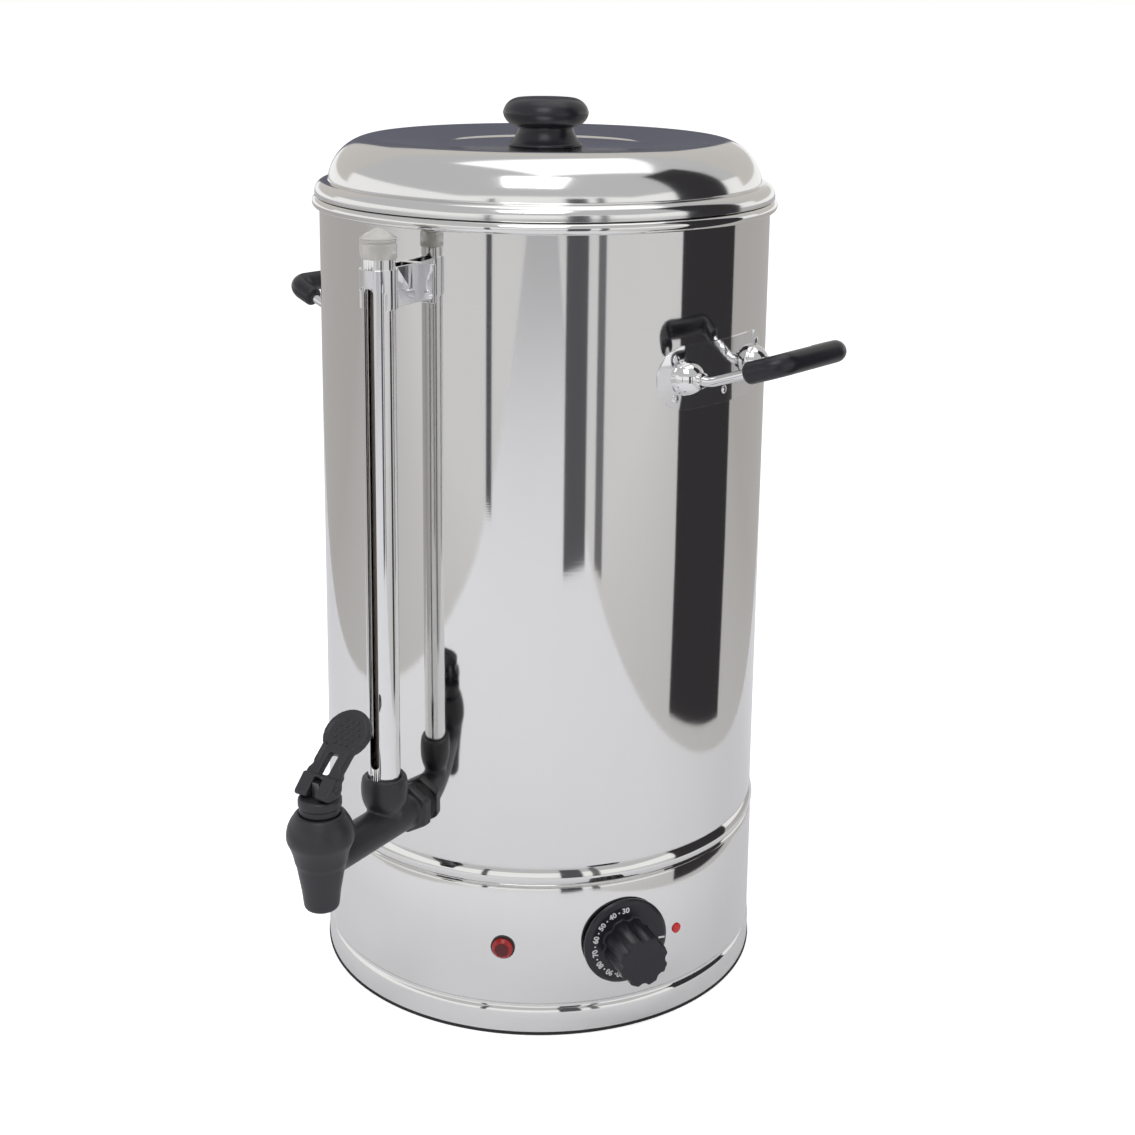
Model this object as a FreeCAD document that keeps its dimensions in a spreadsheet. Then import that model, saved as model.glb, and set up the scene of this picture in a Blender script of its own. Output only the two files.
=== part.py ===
import FreeCAD, Part
import math
import os

import Sketcher
from FreeCAD import Placement, Rotation, Vector

# A hot water urn. The origin is on the floor under the middle of the tank, +Z is up and
# the tap points along -Y. An azimuth is counted from the tap towards +X, seen from above.

SIZES = {
    # Tank shell
    "body_radius": 140.0,
    "shell_wall": 1.0,
    "rim_height": 497.0,
    "rim_bead": 7.0,
    "joint_height": 97.0,
    "joint_band": 13.0,
    "joint_bulge": 1.7,
    "joint_crease": 0.5,
    "tank_bottom_height": 110.0,
    "tank_bottom_wall": 1.2,
    # Base
    "skirt_radius": 141.0,
    "skirt_wall": 1.0,
    "lip_gap": 0.1,
    "groove_height": 19.0,
    "groove_width": 5.0,
    "groove_depth": 0.9,
    "hem_bulge": 0.7,
    "foot_height": 1.8,
    "foot_lip_height": 9.0,
    "foot_lip_wall": 1.6,
    "foot_over": 0.5,
    "plate_height": 12.0,
    "plate_wall": 1.2,
    "plate_gap": 0.4,
    "vent_length": 46.0,
    "vent_width": 5.0,
    "vent_pitch": 14.0,
    "vent_distance": 62.0,
    "bracket_width": 20.0,
    "bracket_reach": 16.0,
    "bracket_drop": 14.0,
    "bracket_wall": 1.5,
    "base_screw_radius": 2.0,
    "base_screw_circle": 131.0,
    "base_screw_azimuth": 30.0,
    # Lid
    "lid_gap": 0.3,
    "lid_wall": 1.0,
    "lid_flange_over": 2.8,
    "lid_band": 2.5,
    "lid_roll": 6.5,
    "lid_wall_radius": 134.5,
    "lid_wall_height": 1.2,
    "lid_dome_radius": 28.7,
    "lid_dome_height": 25.5,
    "dish_radius": 106.0,
    "dish_slope": 5.0,
    "dish_depth": 5.2,
    "dish_ring_radius": 66.0,
    "dish_ring_step": 0.8,
    "lid_skirt_drop": 13.0,
    "lid_skirt_wall": 0.8,
    "lid_skirt_gap": 1.2,
    "knob_foot_radius": 23.0,
    "knob_foot_edge": 1.5,
    "knob_neck_radius": 17.0,
    "knob_neck_height": 11.5,
    "knob_head_radius": 26.7,
    "knob_head_height": 18.0,
    "knob_top_radius": 16.0,
    "knob_top_dip": 1.6,
    "knob_screw_radius": 2.5,
    "knob_screw_depth": 14.0,
    "knob_screw_head": 5.0,
    "knob_washer_radius": 9.0,
    "knob_washer_wall": 1.2,
    "fit_gap": 0.05,
    # Handles
    "handle_azimuth": 81.5,
    "handle_height": 405.0,
    "handle_spacing": 65.4,
    "handle_reach": 64.0,
    "handle_rise": 16.0,
    "handle_run": 17.0,
    "handle_bend": 20.0,
    "handle_corner": 11.0,
    "rod_radius": 3.0,
    "grip_radius": 6.5,
    "grip_tail": 22.0,
    "handle_plate_wall": 0.8,
    "handle_plate_half": 19.0,
    "ferrule_radius": 10.5,
    "ferrule_edge": 1.2,
    "ferrule_height": 12.5,
    "ferrule_tip": 4.6,
    "rivet_radius": 2.6,
    "rivet_height": 0.9,
    "rivet_rise": 11.5,
    "rivet_azimuth": 16.5,
    # Tap
    "tap_height": 141.0,
    "tap_reach": 229.0,
    "bell_top": 30.7,
    "bell_radius": 19.1,
    "bell_middle": 14.0,
    "bell_shoulder": 15.0,
    "bell_waist": 14.7,
    "spout_radius": 10.0,
    "spout_drop": 28.0,
    "spout_bore": 7.0,
    "shank_radius": 11.0,
    "shank_bore": 5.0,
    "inlet_rise": 1.5,
    "tail_radius": 8.0,
    "hex_across": 27.0,
    "hex_length": 7.0,
    "seal_wall": 2.5,
    "seal_radius": 13.0,
    "locknut_across": 26.0,
    "locknut_length": 8.0,
    "tail_end": 3.0,
    "chamber_radius": 11.0,
    "seat_depth": 4.0,
    "seat_bore": 6.5,
    "bonnet_radius": 12.4,
    "bonnet_collar": 11.7,
    "bonnet_height": 9.5,
    "bonnet_spigot": 8.5,
    "stem_radius": 2.5,
    "seat_cup_radius": 9.0,
    "seat_cup_height": 7.0,
    "perch_radius": 8.0,
    "perch_wall": 2.0,
    "spring_radius": 6.2,
    "spring_wire": 0.6,
    "spring_turns": 4.0,
    "pin_height": 6.3,
    "pin_radius": 1.5,
    "eye_width": 4.8,
    "eye_depth": 7.0,
    "stem_travel": 2.5,
    # Lever
    "lever_lean": 50.0,
    "lever_tilt": 40.0,
    "lever_length": 33.4,
    "lever_half_width": 11.8,
    "lever_neck": 10.2,
    "lever_wall": 5.0,
    "lever_rail": 1.0,
    "paddle_radius": 14.7,
    "lever_slot_width": 6.6,
    "lever_slot_start": 8.0,
    "lever_slot_end": 19.5,
    # Level gauge
    "gauge_radius": 170.0,
    "socket_rim": 33.0,
    "socket_belly": 13.8,
    "socket_neck": 11.8,
    "socket_base": 10.0,
    "glass_radius": 5.0,
    "glass_wall": 1.4,
    "glass_top": 486.0,
    "guard_radius": 9.5,
    "guard_wall": 0.8,
    "guard_top": 480.0,
    "guard_seat": 25.5,
    "guard_slot_width": 6.5,
    "guard_slot_low": 178.0,
    "guard_slot_high": 461.0,
    "gauge_seal_radius": 7.0,
    "gauge_seal_height": 9.0,
    "cap_radius": 10.4,
    "cap_skirt": 3.0,
    "cap_height": 12.0,
    "cap_cone": 5.0,
    "clip_height": 449.0,
    "clip_band": 22.5,
    "clip_wall": 1.2,
    "clip_bridge": 12.0,
    "clip_foot": 32.0,
    "clip_arch": 13.0,
    "clip_screw_azimuth": 4.9,
    "clip_screw_rise": 4.5,
    "clip_screw_radius": 1.5,
    # Controls
    "dial_azimuth": 54.0,
    "dial_height": 59.5,
    "dial_radius": 27.0,
    "dial_wall": 4.0,
    "dial_gap": 0.9,
    "dial_hollow": 2.6,
    "grip_lobe_circle": 13.6,
    "grip_lobe_radius": 3.9,
    "grip_core_radius": 15.5,
    "dial_grip_length": 26.0,
    "spindle_radius": 3.0,
    "spindle_depth": 18.0,
    "bush_radius": 4.8,
    "thermostat_width": 34.0,
    "thermostat_depth": 24.0,
    "thermostat_screw": 14.0,
    "thermostat_step": 2.2,
    "thermostat_flange": 20.0,
    "sensor_radius": 3.0,
    "sensor_length": 80.0,
    "sensor_distance": 66.7,
    "capillary_radius": 1.0,
    "capillary_bend": 6.0,
    "capillary_rise": 6.5,
    "pilot_azimuth": 23.7,
    "pilot_height": 58.0,
    "pilot_radius": 6.5,
    "pilot_flat": 4.4,
    "pilot_rise": 4.2,
    "pilot_bezel": 7.4,
    "pilot_bezel_rise": 1.0,
    "pilot_stem": 5.2,
    "pilot_depth": 24.0,
    "dot_azimuth": 69.6,
    "dot_height": 56.3,
    "dot_radius": 3.2,
    "dot_rise": 1.3,
    "dot_stem": 1.5,
    # Heating
    "element_ring": 88.0,
    "element_tube": 4.2,
    "element_height": 128.0,
    "element_gap": 18.0,
    "element_drop": 26.0,
    "element_bend": 13.0,
    "element_nut": 8.5,
    "element_nut_height": 6.0,
    "element_gasket": 1.5,
    "cutout_radius": 13.0,
    "cutout_height": 14.0,
    "plunger_radius": 2.5,
    "plunger_travel": 3.0,
    "plunger_low": 8.5,
    "plunger_collar": 6.0,
    "plunger_gap": 0.06,
    # Terminal block, earth stud and gland
    "block_length": 42.0,
    "block_width": 20.0,
    "block_height": 16.0,
    "block_distance": 88.0,
    "earth_radius": 2.0,
    "gland_height": 34.0,
    "gland_bore": 4.2,
    "gland_thread": 6.0,
    "gland_across": 17.0,
    "gland_nut_length": 5.0,
    "gland_dome": 11.0,
    "gland_inside": 10.0,
}

FULL_TURN = 360.0
HALF_TURN = 180.0
QUARTER_TURN = 90.0
HEX_SIDES = 6
LOBES = 8

doc = FreeCAD.newDocument("hot_water_urn")
sheet = doc.addObject("Spreadsheet::Sheet", "Sizes")
for row, (alias, number) in enumerate(SIZES.items(), start=1):
    sheet.set(f"A{row}", alias)
    sheet.set(f"B{row}", str(number))
    sheet.setAlias(f"B{row}", alias)
doc.recompute()

nodes = []


class Dim:
    """A size: its value, and the expression that ties it to the sheet."""

    def __init__(self, value, text=None):
        self.value = float(value)
        self.text = text or f"({self.value!r})"
        self.bound = text is not None

    def made(self, other, sign, value):
        return Dim(value, f"({self.text} {sign} {other.text})")

    def __add__(self, other):
        other = dim(other)
        return self.made(other, "+", self.value + other.value)

    def __radd__(self, other):
        return dim(other) + self

    def __sub__(self, other):
        other = dim(other)
        return self.made(other, "-", self.value - other.value)

    def __rsub__(self, other):
        return dim(other) - self

    def __mul__(self, other):
        other = dim(other)
        return self.made(other, "*", self.value * other.value)

    def __rmul__(self, other):
        return dim(other) * self

    def __truediv__(self, other):
        other = dim(other)
        return self.made(other, "/", self.value / other.value)

    def __neg__(self):
        return Dim(-self.value, f"(-1 * {self.text})")


def dim(size):
    return size if isinstance(size, Dim) else Dim(size)


def sine(angle):
    return Dim(math.sin(math.radians(angle.value)), f"sin({angle.text})")


def cosine(angle):
    return Dim(math.cos(math.radians(angle.value)), f"cos({angle.text})")


def root(size):
    return Dim(math.sqrt(size.value), f"sqrt({size.text})")


class SheetSizes:
    """Reads each size of the sheet by its alias."""

    def __getattr__(self, alias):
        return Dim(sheet.get(alias), f"Sizes.{alias}")


S = SheetSizes()


def bind(item, name, size):
    """Sets a property to a size and ties it to the sheet."""
    size = dim(size)
    if size.bound:
        item.setExpression(name, size.text)
    else:
        setattr(item, name, size.value)


def place(item, x=0, y=0, z=0, azimuth=0):
    """Puts an item at a point, turned about the vertical."""
    x, y, z, azimuth = dim(x), dim(y), dim(z), dim(azimuth)
    turn = Rotation(Vector(0, 0, 1), azimuth.value)
    item.Placement = Placement(Vector(x.value, y.value, z.value), turn)
    tie_place(item, "Placement", x, y, z, azimuth)


def tie_place(item, name, x, y, z, angle):
    for axis, size in (("x", x), ("y", y), ("z", z)):
        if size.bound:
            item.setExpression(f"{name}.Base.{axis}", size.text)
    if angle.bound:
        item.setExpression(f"{name}.Rotation.Angle", angle.text)


def node(item, label):
    """Gives a finished sub-part its name."""
    item.Label = label
    nodes.append(item)
    return item


def body(name):
    return node(doc.addObject("PartDesign::Body", name), name)


def outline(owner, name, plane="XZ_Plane", shift=(0, 0, 0), axis=(0, 1, 0), angle=0):
    """A sketch on one of its body's own planes, shifted and turned in that plane's frame."""
    sketch = owner.newObject("Sketcher::SketchObject", f"{owner.Name}_{name}")
    plane = next(item for item in owner.Origin.OriginFeatures if item.Role == plane)
    sketch.AttachmentSupport = [(plane, "")]
    sketch.MapMode = "FlatFace"
    x, y, z = (dim(size) for size in shift)
    angle = dim(angle)
    base = Vector(x.value, y.value, z.value)
    sketch.AttachmentOffset = Placement(base, Rotation(Vector(*axis), angle.value))
    tie_place(sketch, "AttachmentOffset", x, y, z, angle)
    return sketch


def tie(sketch, kind, *where, size):
    size = dim(size)
    index = sketch.addConstraint(Sketcher.Constraint(kind, *where, size.value))
    if size.bound:
        sketch.setExpression(f"Constraints[{index}]", size.text)


def tie_point(sketch, edge, end, x, y):
    """Ties a point of the sketch to its two coordinates."""
    for kind, axis, size in (("DistanceX", -2, dim(x)), ("DistanceY", -1, dim(y))):
        if size.value == 0 and not size.bound:
            sketch.addConstraint(Sketcher.Constraint("PointOnObject", edge, end, axis))
        else:
            tie(sketch, kind, -1, 1, edge, end, size=size)


def arc_between(start, end, radius):
    """The short arc between two points. A positive radius has its centre on the left."""
    chord = end - start
    half = chord.Length / 2
    left = Vector(-chord.y, chord.x, 0).normalize()
    side = math.copysign(1, radius)
    offset = math.sqrt(max(radius * radius - half * half, 0)) * side
    centre = (start + end) * 0.5 + left * offset
    first, last = (start, end) if radius > 0 else (end, start)
    begin = math.atan2(first.y - centre.y, first.x - centre.x)
    finish = math.atan2(last.y - centre.y, last.x - centre.x)
    if finish < begin:
        finish += 2 * math.pi
    circle = Part.Circle(centre, Vector(0, 0, 1), abs(radius))
    return Part.ArcOfCircle(circle, begin, finish)


def draw(sketch, corners):
    """A closed loop through corners (x, y). A third number is the radius of the arc that
    arrives there: positive when its centre lies on the left of the way round."""
    first = sketch.GeometryCount
    count = len(corners)
    points = [Vector(dim(corner[0]).value, dim(corner[1]).value, 0) for corner in corners]
    ends = []
    for index in range(count):
        after = (index + 1) % count
        radius = dim(corners[after][2]) if len(corners[after]) > 2 else None
        if radius is None:
            sketch.addGeometry(Part.LineSegment(points[index], points[after]))
            ends.append((1, 2))
        else:
            sketch.addGeometry(arc_between(points[index], points[after], radius.value))
            ends.append((1, 2) if radius.value > 0 else (2, 1))
    for index in range(count):
        after = (index + 1) % count
        joint = (first + index, ends[index][1], first + after, ends[after][0])
        sketch.addConstraint(Sketcher.Constraint("Coincident", *joint))
    for index, corner in enumerate(corners):
        tie_point(sketch, first + index, ends[index][0], corner[0], corner[1])
    for index in range(count):
        after = corners[(index + 1) % count]
        if len(after) > 2:
            radius = dim(after[2])
            size = radius if radius.value > 0 else -radius
            tie(sketch, "Radius", first + index, size=size)
    return sketch


def circle(sketch, x, y, radius):
    x, y, radius = dim(x), dim(y), dim(radius)
    ring = Part.Circle(Vector(x.value, y.value, 0), Vector(0, 0, 1), radius.value)
    edge = sketch.addGeometry(ring)
    tie(sketch, "Radius", edge, size=radius)
    tie_point(sketch, edge, 3, x, y)
    return sketch


def hexagon(sketch, across):
    """A hexagon about the sketch's origin, by its width across flats."""
    corner = across / 2 / cosine(dim(HALF_TURN / HEX_SIDES))
    turns = [dim(-FULL_TURN / HEX_SIDES * step) for step in range(HEX_SIDES)]
    return draw(sketch, [(corner * sine(turn), corner * cosine(turn)) for turn in turns])


def box(sketch, low_x, low_y, high_x, high_y):
    return draw(sketch, [(low_x, low_y), (high_x, low_y), (high_x, high_y), (low_x, high_y)])


def feature(owner, kind, sketch):
    item = owner.newObject(f"PartDesign::{kind}", f"{sketch.Name}_{kind}")
    item.Profile = (sketch, [""])
    return item


def revolve(owner, sketch, axis="V_Axis"):
    item = feature(owner, "Revolution", sketch)
    item.ReferenceAxis = (sketch, [axis])
    item.Angle = FULL_TURN
    return item


def pad(owner, sketch, length, middle=False, back=False):
    item = feature(owner, "Pad", sketch)
    bind(item, "Length", length)
    item.Midplane = middle
    item.Reversed = back
    return item


def cut(owner, sketch, length=None, middle=False, back=False, axis="V_Axis"):
    """A pocket of a given length, or a groove all round an axis, that must remove something."""
    doc.recompute()
    before = owner.Shape.Volume
    if length is None:
        item = feature(owner, "Groove", sketch)
        item.ReferenceAxis = (sketch, [axis])
        item.Angle = FULL_TURN
    else:
        item = feature(owner, "Pocket", sketch)
        bind(item, "Length", length)
        item.Midplane = middle
        item.Reversed = back
    doc.recompute()
    if owner.Shape.Volume >= before:
        raise RuntimeError(f"{item.Name} removes nothing")
    return item


def line_axis(sketch, x):
    """An upright construction line, for a shape that turns about x."""
    x = dim(x)
    low = Vector(x.value, 0, 0)
    high = Vector(x.value, 1, 0)
    edge = sketch.addGeometry(Part.LineSegment(low, high), True)
    tie_point(sketch, edge, 1, x, 0)
    tie_point(sketch, edge, 2, x, 1)


def ring_cut(owner, name, inner, outer, length):
    """Takes away all that lies between two upright cylinders about the urn's axis."""
    sketch = outline(owner, name, "XY_Plane")
    circle(sketch, 0, 0, outer)
    if inner is not None:
        circle(sketch, 0, 0, inner)
    return cut(owner, sketch, length, middle=True)


def radial_hole(owner, name, azimuth, height, radius, length):
    """A round hole from the axis outwards at an azimuth and a height."""
    sketch = outline(owner, name, axis=(0, 1, 0), angle=azimuth)
    circle(sketch, 0, height, radius)
    return cut(owner, sketch, length, back=True)


def part(kind, name, **sizes):
    """A primitive with its sizes tied to the sheet."""
    item = doc.addObject(f"Part::{kind}", name)
    for key, size in sizes.items():
        bind(item, key, size)
    return item


def minus(name, base, tool):
    item = doc.addObject("Part::Cut", name)
    item.Base = base
    item.Tool = tool
    return item


def group(name, items):
    item = doc.addObject("Part::Compound", name)
    item.Links = items
    return node(item, name)


def lie_outwards(item, azimuth, radius, height, side=0):
    """Lays a primitive's own Z axis along the outward direction at an azimuth."""
    azimuth, radius = dim(azimuth), dim(radius)
    height, side = dim(height), dim(side)
    x = radius * sine(azimuth) + side * cosine(azimuth)
    y = side * sine(azimuth) - radius * cosine(azimuth)
    # The turn about the vertical follows a quarter turn that tips +Z to -Y.
    item.Placement = Placement(
        Vector(x.value, y.value, height.value),
        Rotation(Vector(0, 0, 1), azimuth.value) * Rotation(Vector(1, 0, 0), QUARTER_TURN),
    )
    for axis, size in (("x", x), ("y", y), ("z", height)):
        if size.bound:
            item.setExpression(f"Placement.Base.{axis}", size.text)
    return item


def bent_wire(points, radii):
    """Straight runs through the points, joined by tangent arcs of the given radii."""
    edges = []
    start = points[0]
    for index in range(1, len(points) - 1):
        corner = points[index]
        before = (points[index - 1] - corner).normalize()
        after = (points[index + 1] - corner).normalize()
        half = before.getAngle(after) / 2
        reach = radii[index - 1] / math.tan(half)
        enter = corner + before * reach
        leave = corner + after * reach
        inward = (before + after).normalize()
        centre = corner + inward * (radii[index - 1] / math.sin(half))
        middle = centre - inward * radii[index - 1]
        edges.append(Part.LineSegment(start, enter).toShape())
        edges.append(Part.Arc(enter, middle, leave).toShape())
        start = leave
    edges.append(Part.LineSegment(start, points[-1]).toShape())
    return Part.Wire(edges)


def tube(wire, radius):
    """A round bar along a wire."""
    start = wire.Edges[0]
    direction = start.tangentAt(start.FirstParameter)
    origin = wire.Vertexes[0].Point
    ring = Part.Wire(Part.makeCircle(radius, origin, direction))
    return wire.makePipeShell([ring], True, True)


def solid_node(name, shape, azimuth=0, height=0):
    item = node(doc.addObject("Part::Feature", name), name)
    item.Shape = shape
    place(item, z=height, azimuth=azimuth)
    return item


# Heights and radii that several pieces share.

SHELL_INSIDE = S.body_radius - S.shell_wall
SKIRT_INSIDE = S.skirt_radius - S.skirt_wall
BAND_TOP = S.joint_height + S.joint_band
LIP_OUTSIDE = SHELL_INSIDE - S.lip_gap
LIP_TOP = S.tank_bottom_height - S.tank_bottom_wall * 2
RIM_MIDDLE = S.body_radius + S.shell_wall
LID_LOW = S.rim_height + S.lid_gap
LID_FLANGE = S.body_radius + S.lid_flange_over
LID_ROLL_TOP = LID_LOW + S.lid_band + S.lid_roll
LID_ROLL_END = LID_FLANGE - S.lid_roll
DOME_LOW = LID_ROLL_TOP + S.lid_wall_height
DOME_TOP = DOME_LOW + S.lid_dome_height
DISH_EDGE = DOME_TOP - S.dish_depth
DISH_FLOOR = DISH_EDGE - S.dish_ring_step
HOLE_REACH = S.body_radius + S.tap_reach
PIVOT_HEIGHT = S.tap_height + S.bell_top + S.bonnet_height + S.pin_height


def tank_shell():
    item = body("tank_shell")
    bead = S.rim_bead / 2
    rim_low = S.rim_height - bead
    inner = RIM_MIDDLE - bead
    outer = RIM_MIDDLE + bead
    bulge = S.body_radius + S.joint_bulge
    crease = S.body_radius - S.joint_crease
    swage = S.joint_band / 2
    middle = S.joint_height + swage
    low_crease = S.joint_height + S.shell_wall
    high_crease = BAND_TOP - S.shell_wall
    bulge_radius = swage * 2
    sketch = outline(item, "wall")
    draw(sketch, [
        (SHELL_INSIDE, S.joint_height),
        (S.body_radius, S.joint_height),
        (crease, low_crease),
        (bulge, middle, bulge_radius),
        (crease, high_crease, bulge_radius),
        (S.body_radius, BAND_TOP),
        (S.body_radius, rim_low),
        (outer, rim_low),
        (RIM_MIDDLE, S.rim_height, bead),
        (inner, rim_low, bead),
        (SHELL_INSIDE, rim_low),
    ])
    revolve(item, sketch)
    ring = outline(item, "bead")
    draw(ring, [
        (inner, rim_low),
        (RIM_MIDDLE, rim_low - bead, bead),
        (outer, rim_low, bead),
    ])
    revolve(item, ring)
    radial_hole(item, "tap_hole", 0, S.tap_height, S.tail_radius + S.fit_gap, HOLE_REACH)
    for side in (1, -1):
        radial_hole(item, f"clip_hole_{side + 1}", S.clip_screw_azimuth * side,
                    S.clip_height + S.clip_screw_rise, S.clip_screw_radius + S.fit_gap, HOLE_REACH)


def tank_bottom():
    item = body("tank_bottom")
    top = S.tank_bottom_height + S.tank_bottom_wall
    edge = SHELL_INSIDE - S.fit_gap
    flange = edge - S.tank_bottom_wall
    sketch = outline(item, "dish")
    draw(sketch, [
        (0, S.tank_bottom_height),
        (flange, S.tank_bottom_height),
        (flange, LIP_TOP),
        (edge, LIP_TOP),
        (edge, top),
        (0, top),
    ])
    revolve(item, sketch)
    legs = outline(item, "legs", "XY_Plane", shift=(0, 0, S.tank_bottom_height - 1))
    for side in (1, -1):
        circle(legs, S.element_gap * side, element_leg_y(), S.element_tube + S.fit_gap)
    cut(item, legs, S.tank_bottom_wall + 2, back=True)


def element_leg_y():
    return root(S.element_ring * S.element_ring - S.element_gap * S.element_gap)


def base_skirt():
    item = body("base_skirt")
    low = S.foot_height
    hem = S.skirt_radius + S.hem_bulge
    groove_low = S.groove_height - S.groove_width / 2
    groove_high = S.groove_height + S.groove_width / 2
    groove = S.skirt_radius - S.groove_depth
    lip_inside = LIP_OUTSIDE - S.skirt_wall
    sketch = outline(item, "wall")
    draw(sketch, [
        (SKIRT_INSIDE, low),
        (hem, low),
        (hem, groove_low - S.hem_bulge),
        (S.skirt_radius, groove_low),
        (groove, S.groove_height),
        (S.skirt_radius, groove_high),
        (S.skirt_radius, S.joint_height),
        (LIP_OUTSIDE, S.joint_height),
        (LIP_OUTSIDE, LIP_TOP),
        (lip_inside, LIP_TOP),
        (lip_inside, S.joint_height - S.skirt_wall),
        (SKIRT_INSIDE, S.joint_height - S.skirt_wall),
        (SKIRT_INSIDE, groove_high + S.groove_depth),
        (groove - S.skirt_wall, groove_high),
        (groove - S.skirt_wall, groove_low),
        (SKIRT_INSIDE, groove_low - S.groove_depth),
    ])
    revolve(item, sketch)
    reach = HOLE_REACH
    gap = S.fit_gap
    radial_hole(item, "bush_hole", S.dial_azimuth, S.dial_height, S.bush_radius + gap, reach)
    for side in (1, -1):
        height = S.dial_height + S.thermostat_screw * side
        radial_hole(item, f"screw_hole_{side + 1}", S.dial_azimuth, height,
                    S.base_screw_radius - S.plate_gap, reach)
    radial_hole(item, "pilot_hole", S.pilot_azimuth, S.pilot_height, S.pilot_stem + gap, reach)
    radial_hole(item, "dot_hole", S.dot_azimuth, S.dot_height, S.dot_stem + gap, reach)
    radial_hole(item, "gland_hole", HALF_TURN, S.gland_height, S.gland_thread + gap, reach)


def foot_ring():
    item = body("foot_ring")
    outside = S.skirt_radius + S.hem_bulge + S.foot_over
    lip = SKIRT_INSIDE - S.lip_gap
    inside = lip - S.foot_lip_wall
    sketch = outline(item, "section")
    draw(sketch, [
        (inside, 0),
        (outside - S.foot_over, 0),
        (outside, S.foot_over),
        (outside, S.foot_height),
        (lip, S.foot_height),
        (lip, S.foot_lip_height),
        (inside, S.foot_lip_height),
    ])
    revolve(item, sketch)


def base_plate():
    item = body("base_plate")
    edge = SKIRT_INSIDE - S.groove_depth - S.skirt_wall - S.plate_gap
    disc = outline(item, "disc", "XY_Plane", shift=(0, 0, S.plate_height))
    circle(disc, 0, 0, edge)
    circle(disc, 0, 0, S.plunger_radius + S.plunger_gap)
    pad(item, disc, S.plate_wall)
    holes = outline(item, "screw_holes", "XY_Plane", shift=(0, 0, S.plate_height - 1))
    for x, y in screw_points():
        circle(holes, x, y, S.base_screw_radius + S.plate_gap / 2)
    cut(item, holes, S.plate_wall + 2, back=True)
    vents = outline(item, "vents", "XY_Plane", shift=(0, 0, S.plate_height - 1))
    for side in (1, -1):
        for step in (-1, 0, 1):
            middle = S.vent_distance * side + S.vent_pitch * step
            half = S.vent_width / 2
            box(vents, middle - half, -S.vent_length / 2, middle + half, S.vent_length / 2)
    cut(item, vents, S.plate_wall + 2, back=True)
    earth = outline(item, "earth_hole", "XY_Plane", shift=(0, 0, S.plate_height - 1))
    circle(earth, EARTH_X, EARTH_Y, S.earth_radius + S.fit_gap)
    cut(item, earth, S.plate_wall + 2, back=True)


def screw_points():
    """The three fixing screws of the base plate, equally spaced."""
    azimuths = [S.base_screw_azimuth + FULL_TURN / 3 * step for step in range(3)]
    circle_radius = S.base_screw_circle
    return [(circle_radius * sine(a), -(circle_radius * cosine(a))) for a in azimuths]


def base_brackets():
    """Angle brackets welded inside the skirt, over the base plate."""
    low = S.plate_height + S.plate_wall
    high = low + S.bracket_drop
    outside = SKIRT_INSIDE - S.groove_depth - S.skirt_wall
    half = S.bracket_width / 2
    items = []
    for step in range(3):
        flat = part("Box", f"bracket_flat_{step}", Length=S.bracket_width, Width=S.bracket_reach,
                    Height=S.bracket_wall)
        wall = part("Box", f"bracket_wall_{step}", Length=S.bracket_width, Width=S.bracket_wall,
                    Height=S.bracket_drop + S.bracket_wall)
        hole = part("Cylinder", f"bracket_hole_{step}", Radius=S.base_screw_radius + S.fit_gap,
                    Height=S.bracket_wall + 2)
        shaft_y = outside - S.base_screw_circle
        place(flat, -half, 0, low)
        place(wall, -half, S.bracket_reach - S.bracket_wall, low)
        sagitta = outside - root(outside * outside - half * half)
        place(hole, 0, S.bracket_reach - shaft_y + sagitta, low - 1)
        angle = doc.addObject("Part::Fuse", f"bracket_angle_{step}")
        angle.Base = flat
        angle.Tool = wall
        item = minus(f"bracket_{step}", angle, hole)
        azimuth = S.base_screw_azimuth + FULL_TURN / 3 * step + HALF_TURN
        inner = outside - sagitta - S.bracket_reach
        place(item, -(inner * sine(azimuth)), inner * cosine(azimuth), 0, azimuth)
        items.append(item)
    return group("base_brackets", items)


def base_screws():
    """Pan-head screws up through the base plate into the brackets."""
    head = S.plate_height
    items = []
    for step, (x, y) in enumerate(screw_points()):
        shank = part("Cylinder", f"base_screw_shank_{step}", Radius=S.base_screw_radius,
                     Height=S.plate_wall + S.bracket_wall + 4)
        cap = part("Cone", f"base_screw_head_{step}", Radius1=S.base_screw_radius * 1.3,
                   Radius2=S.base_screw_radius * 2, Height=S.base_screw_radius * 1.2)
        place(shank, x, y, head)
        place(cap, x, y, head - S.base_screw_radius * 1.2)
        item = doc.addObject("Part::Fuse", f"base_screw_{step}")
        item.Base = shank
        item.Tool = cap
        items.append(item)
    return group("base_screws", items)


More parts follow.
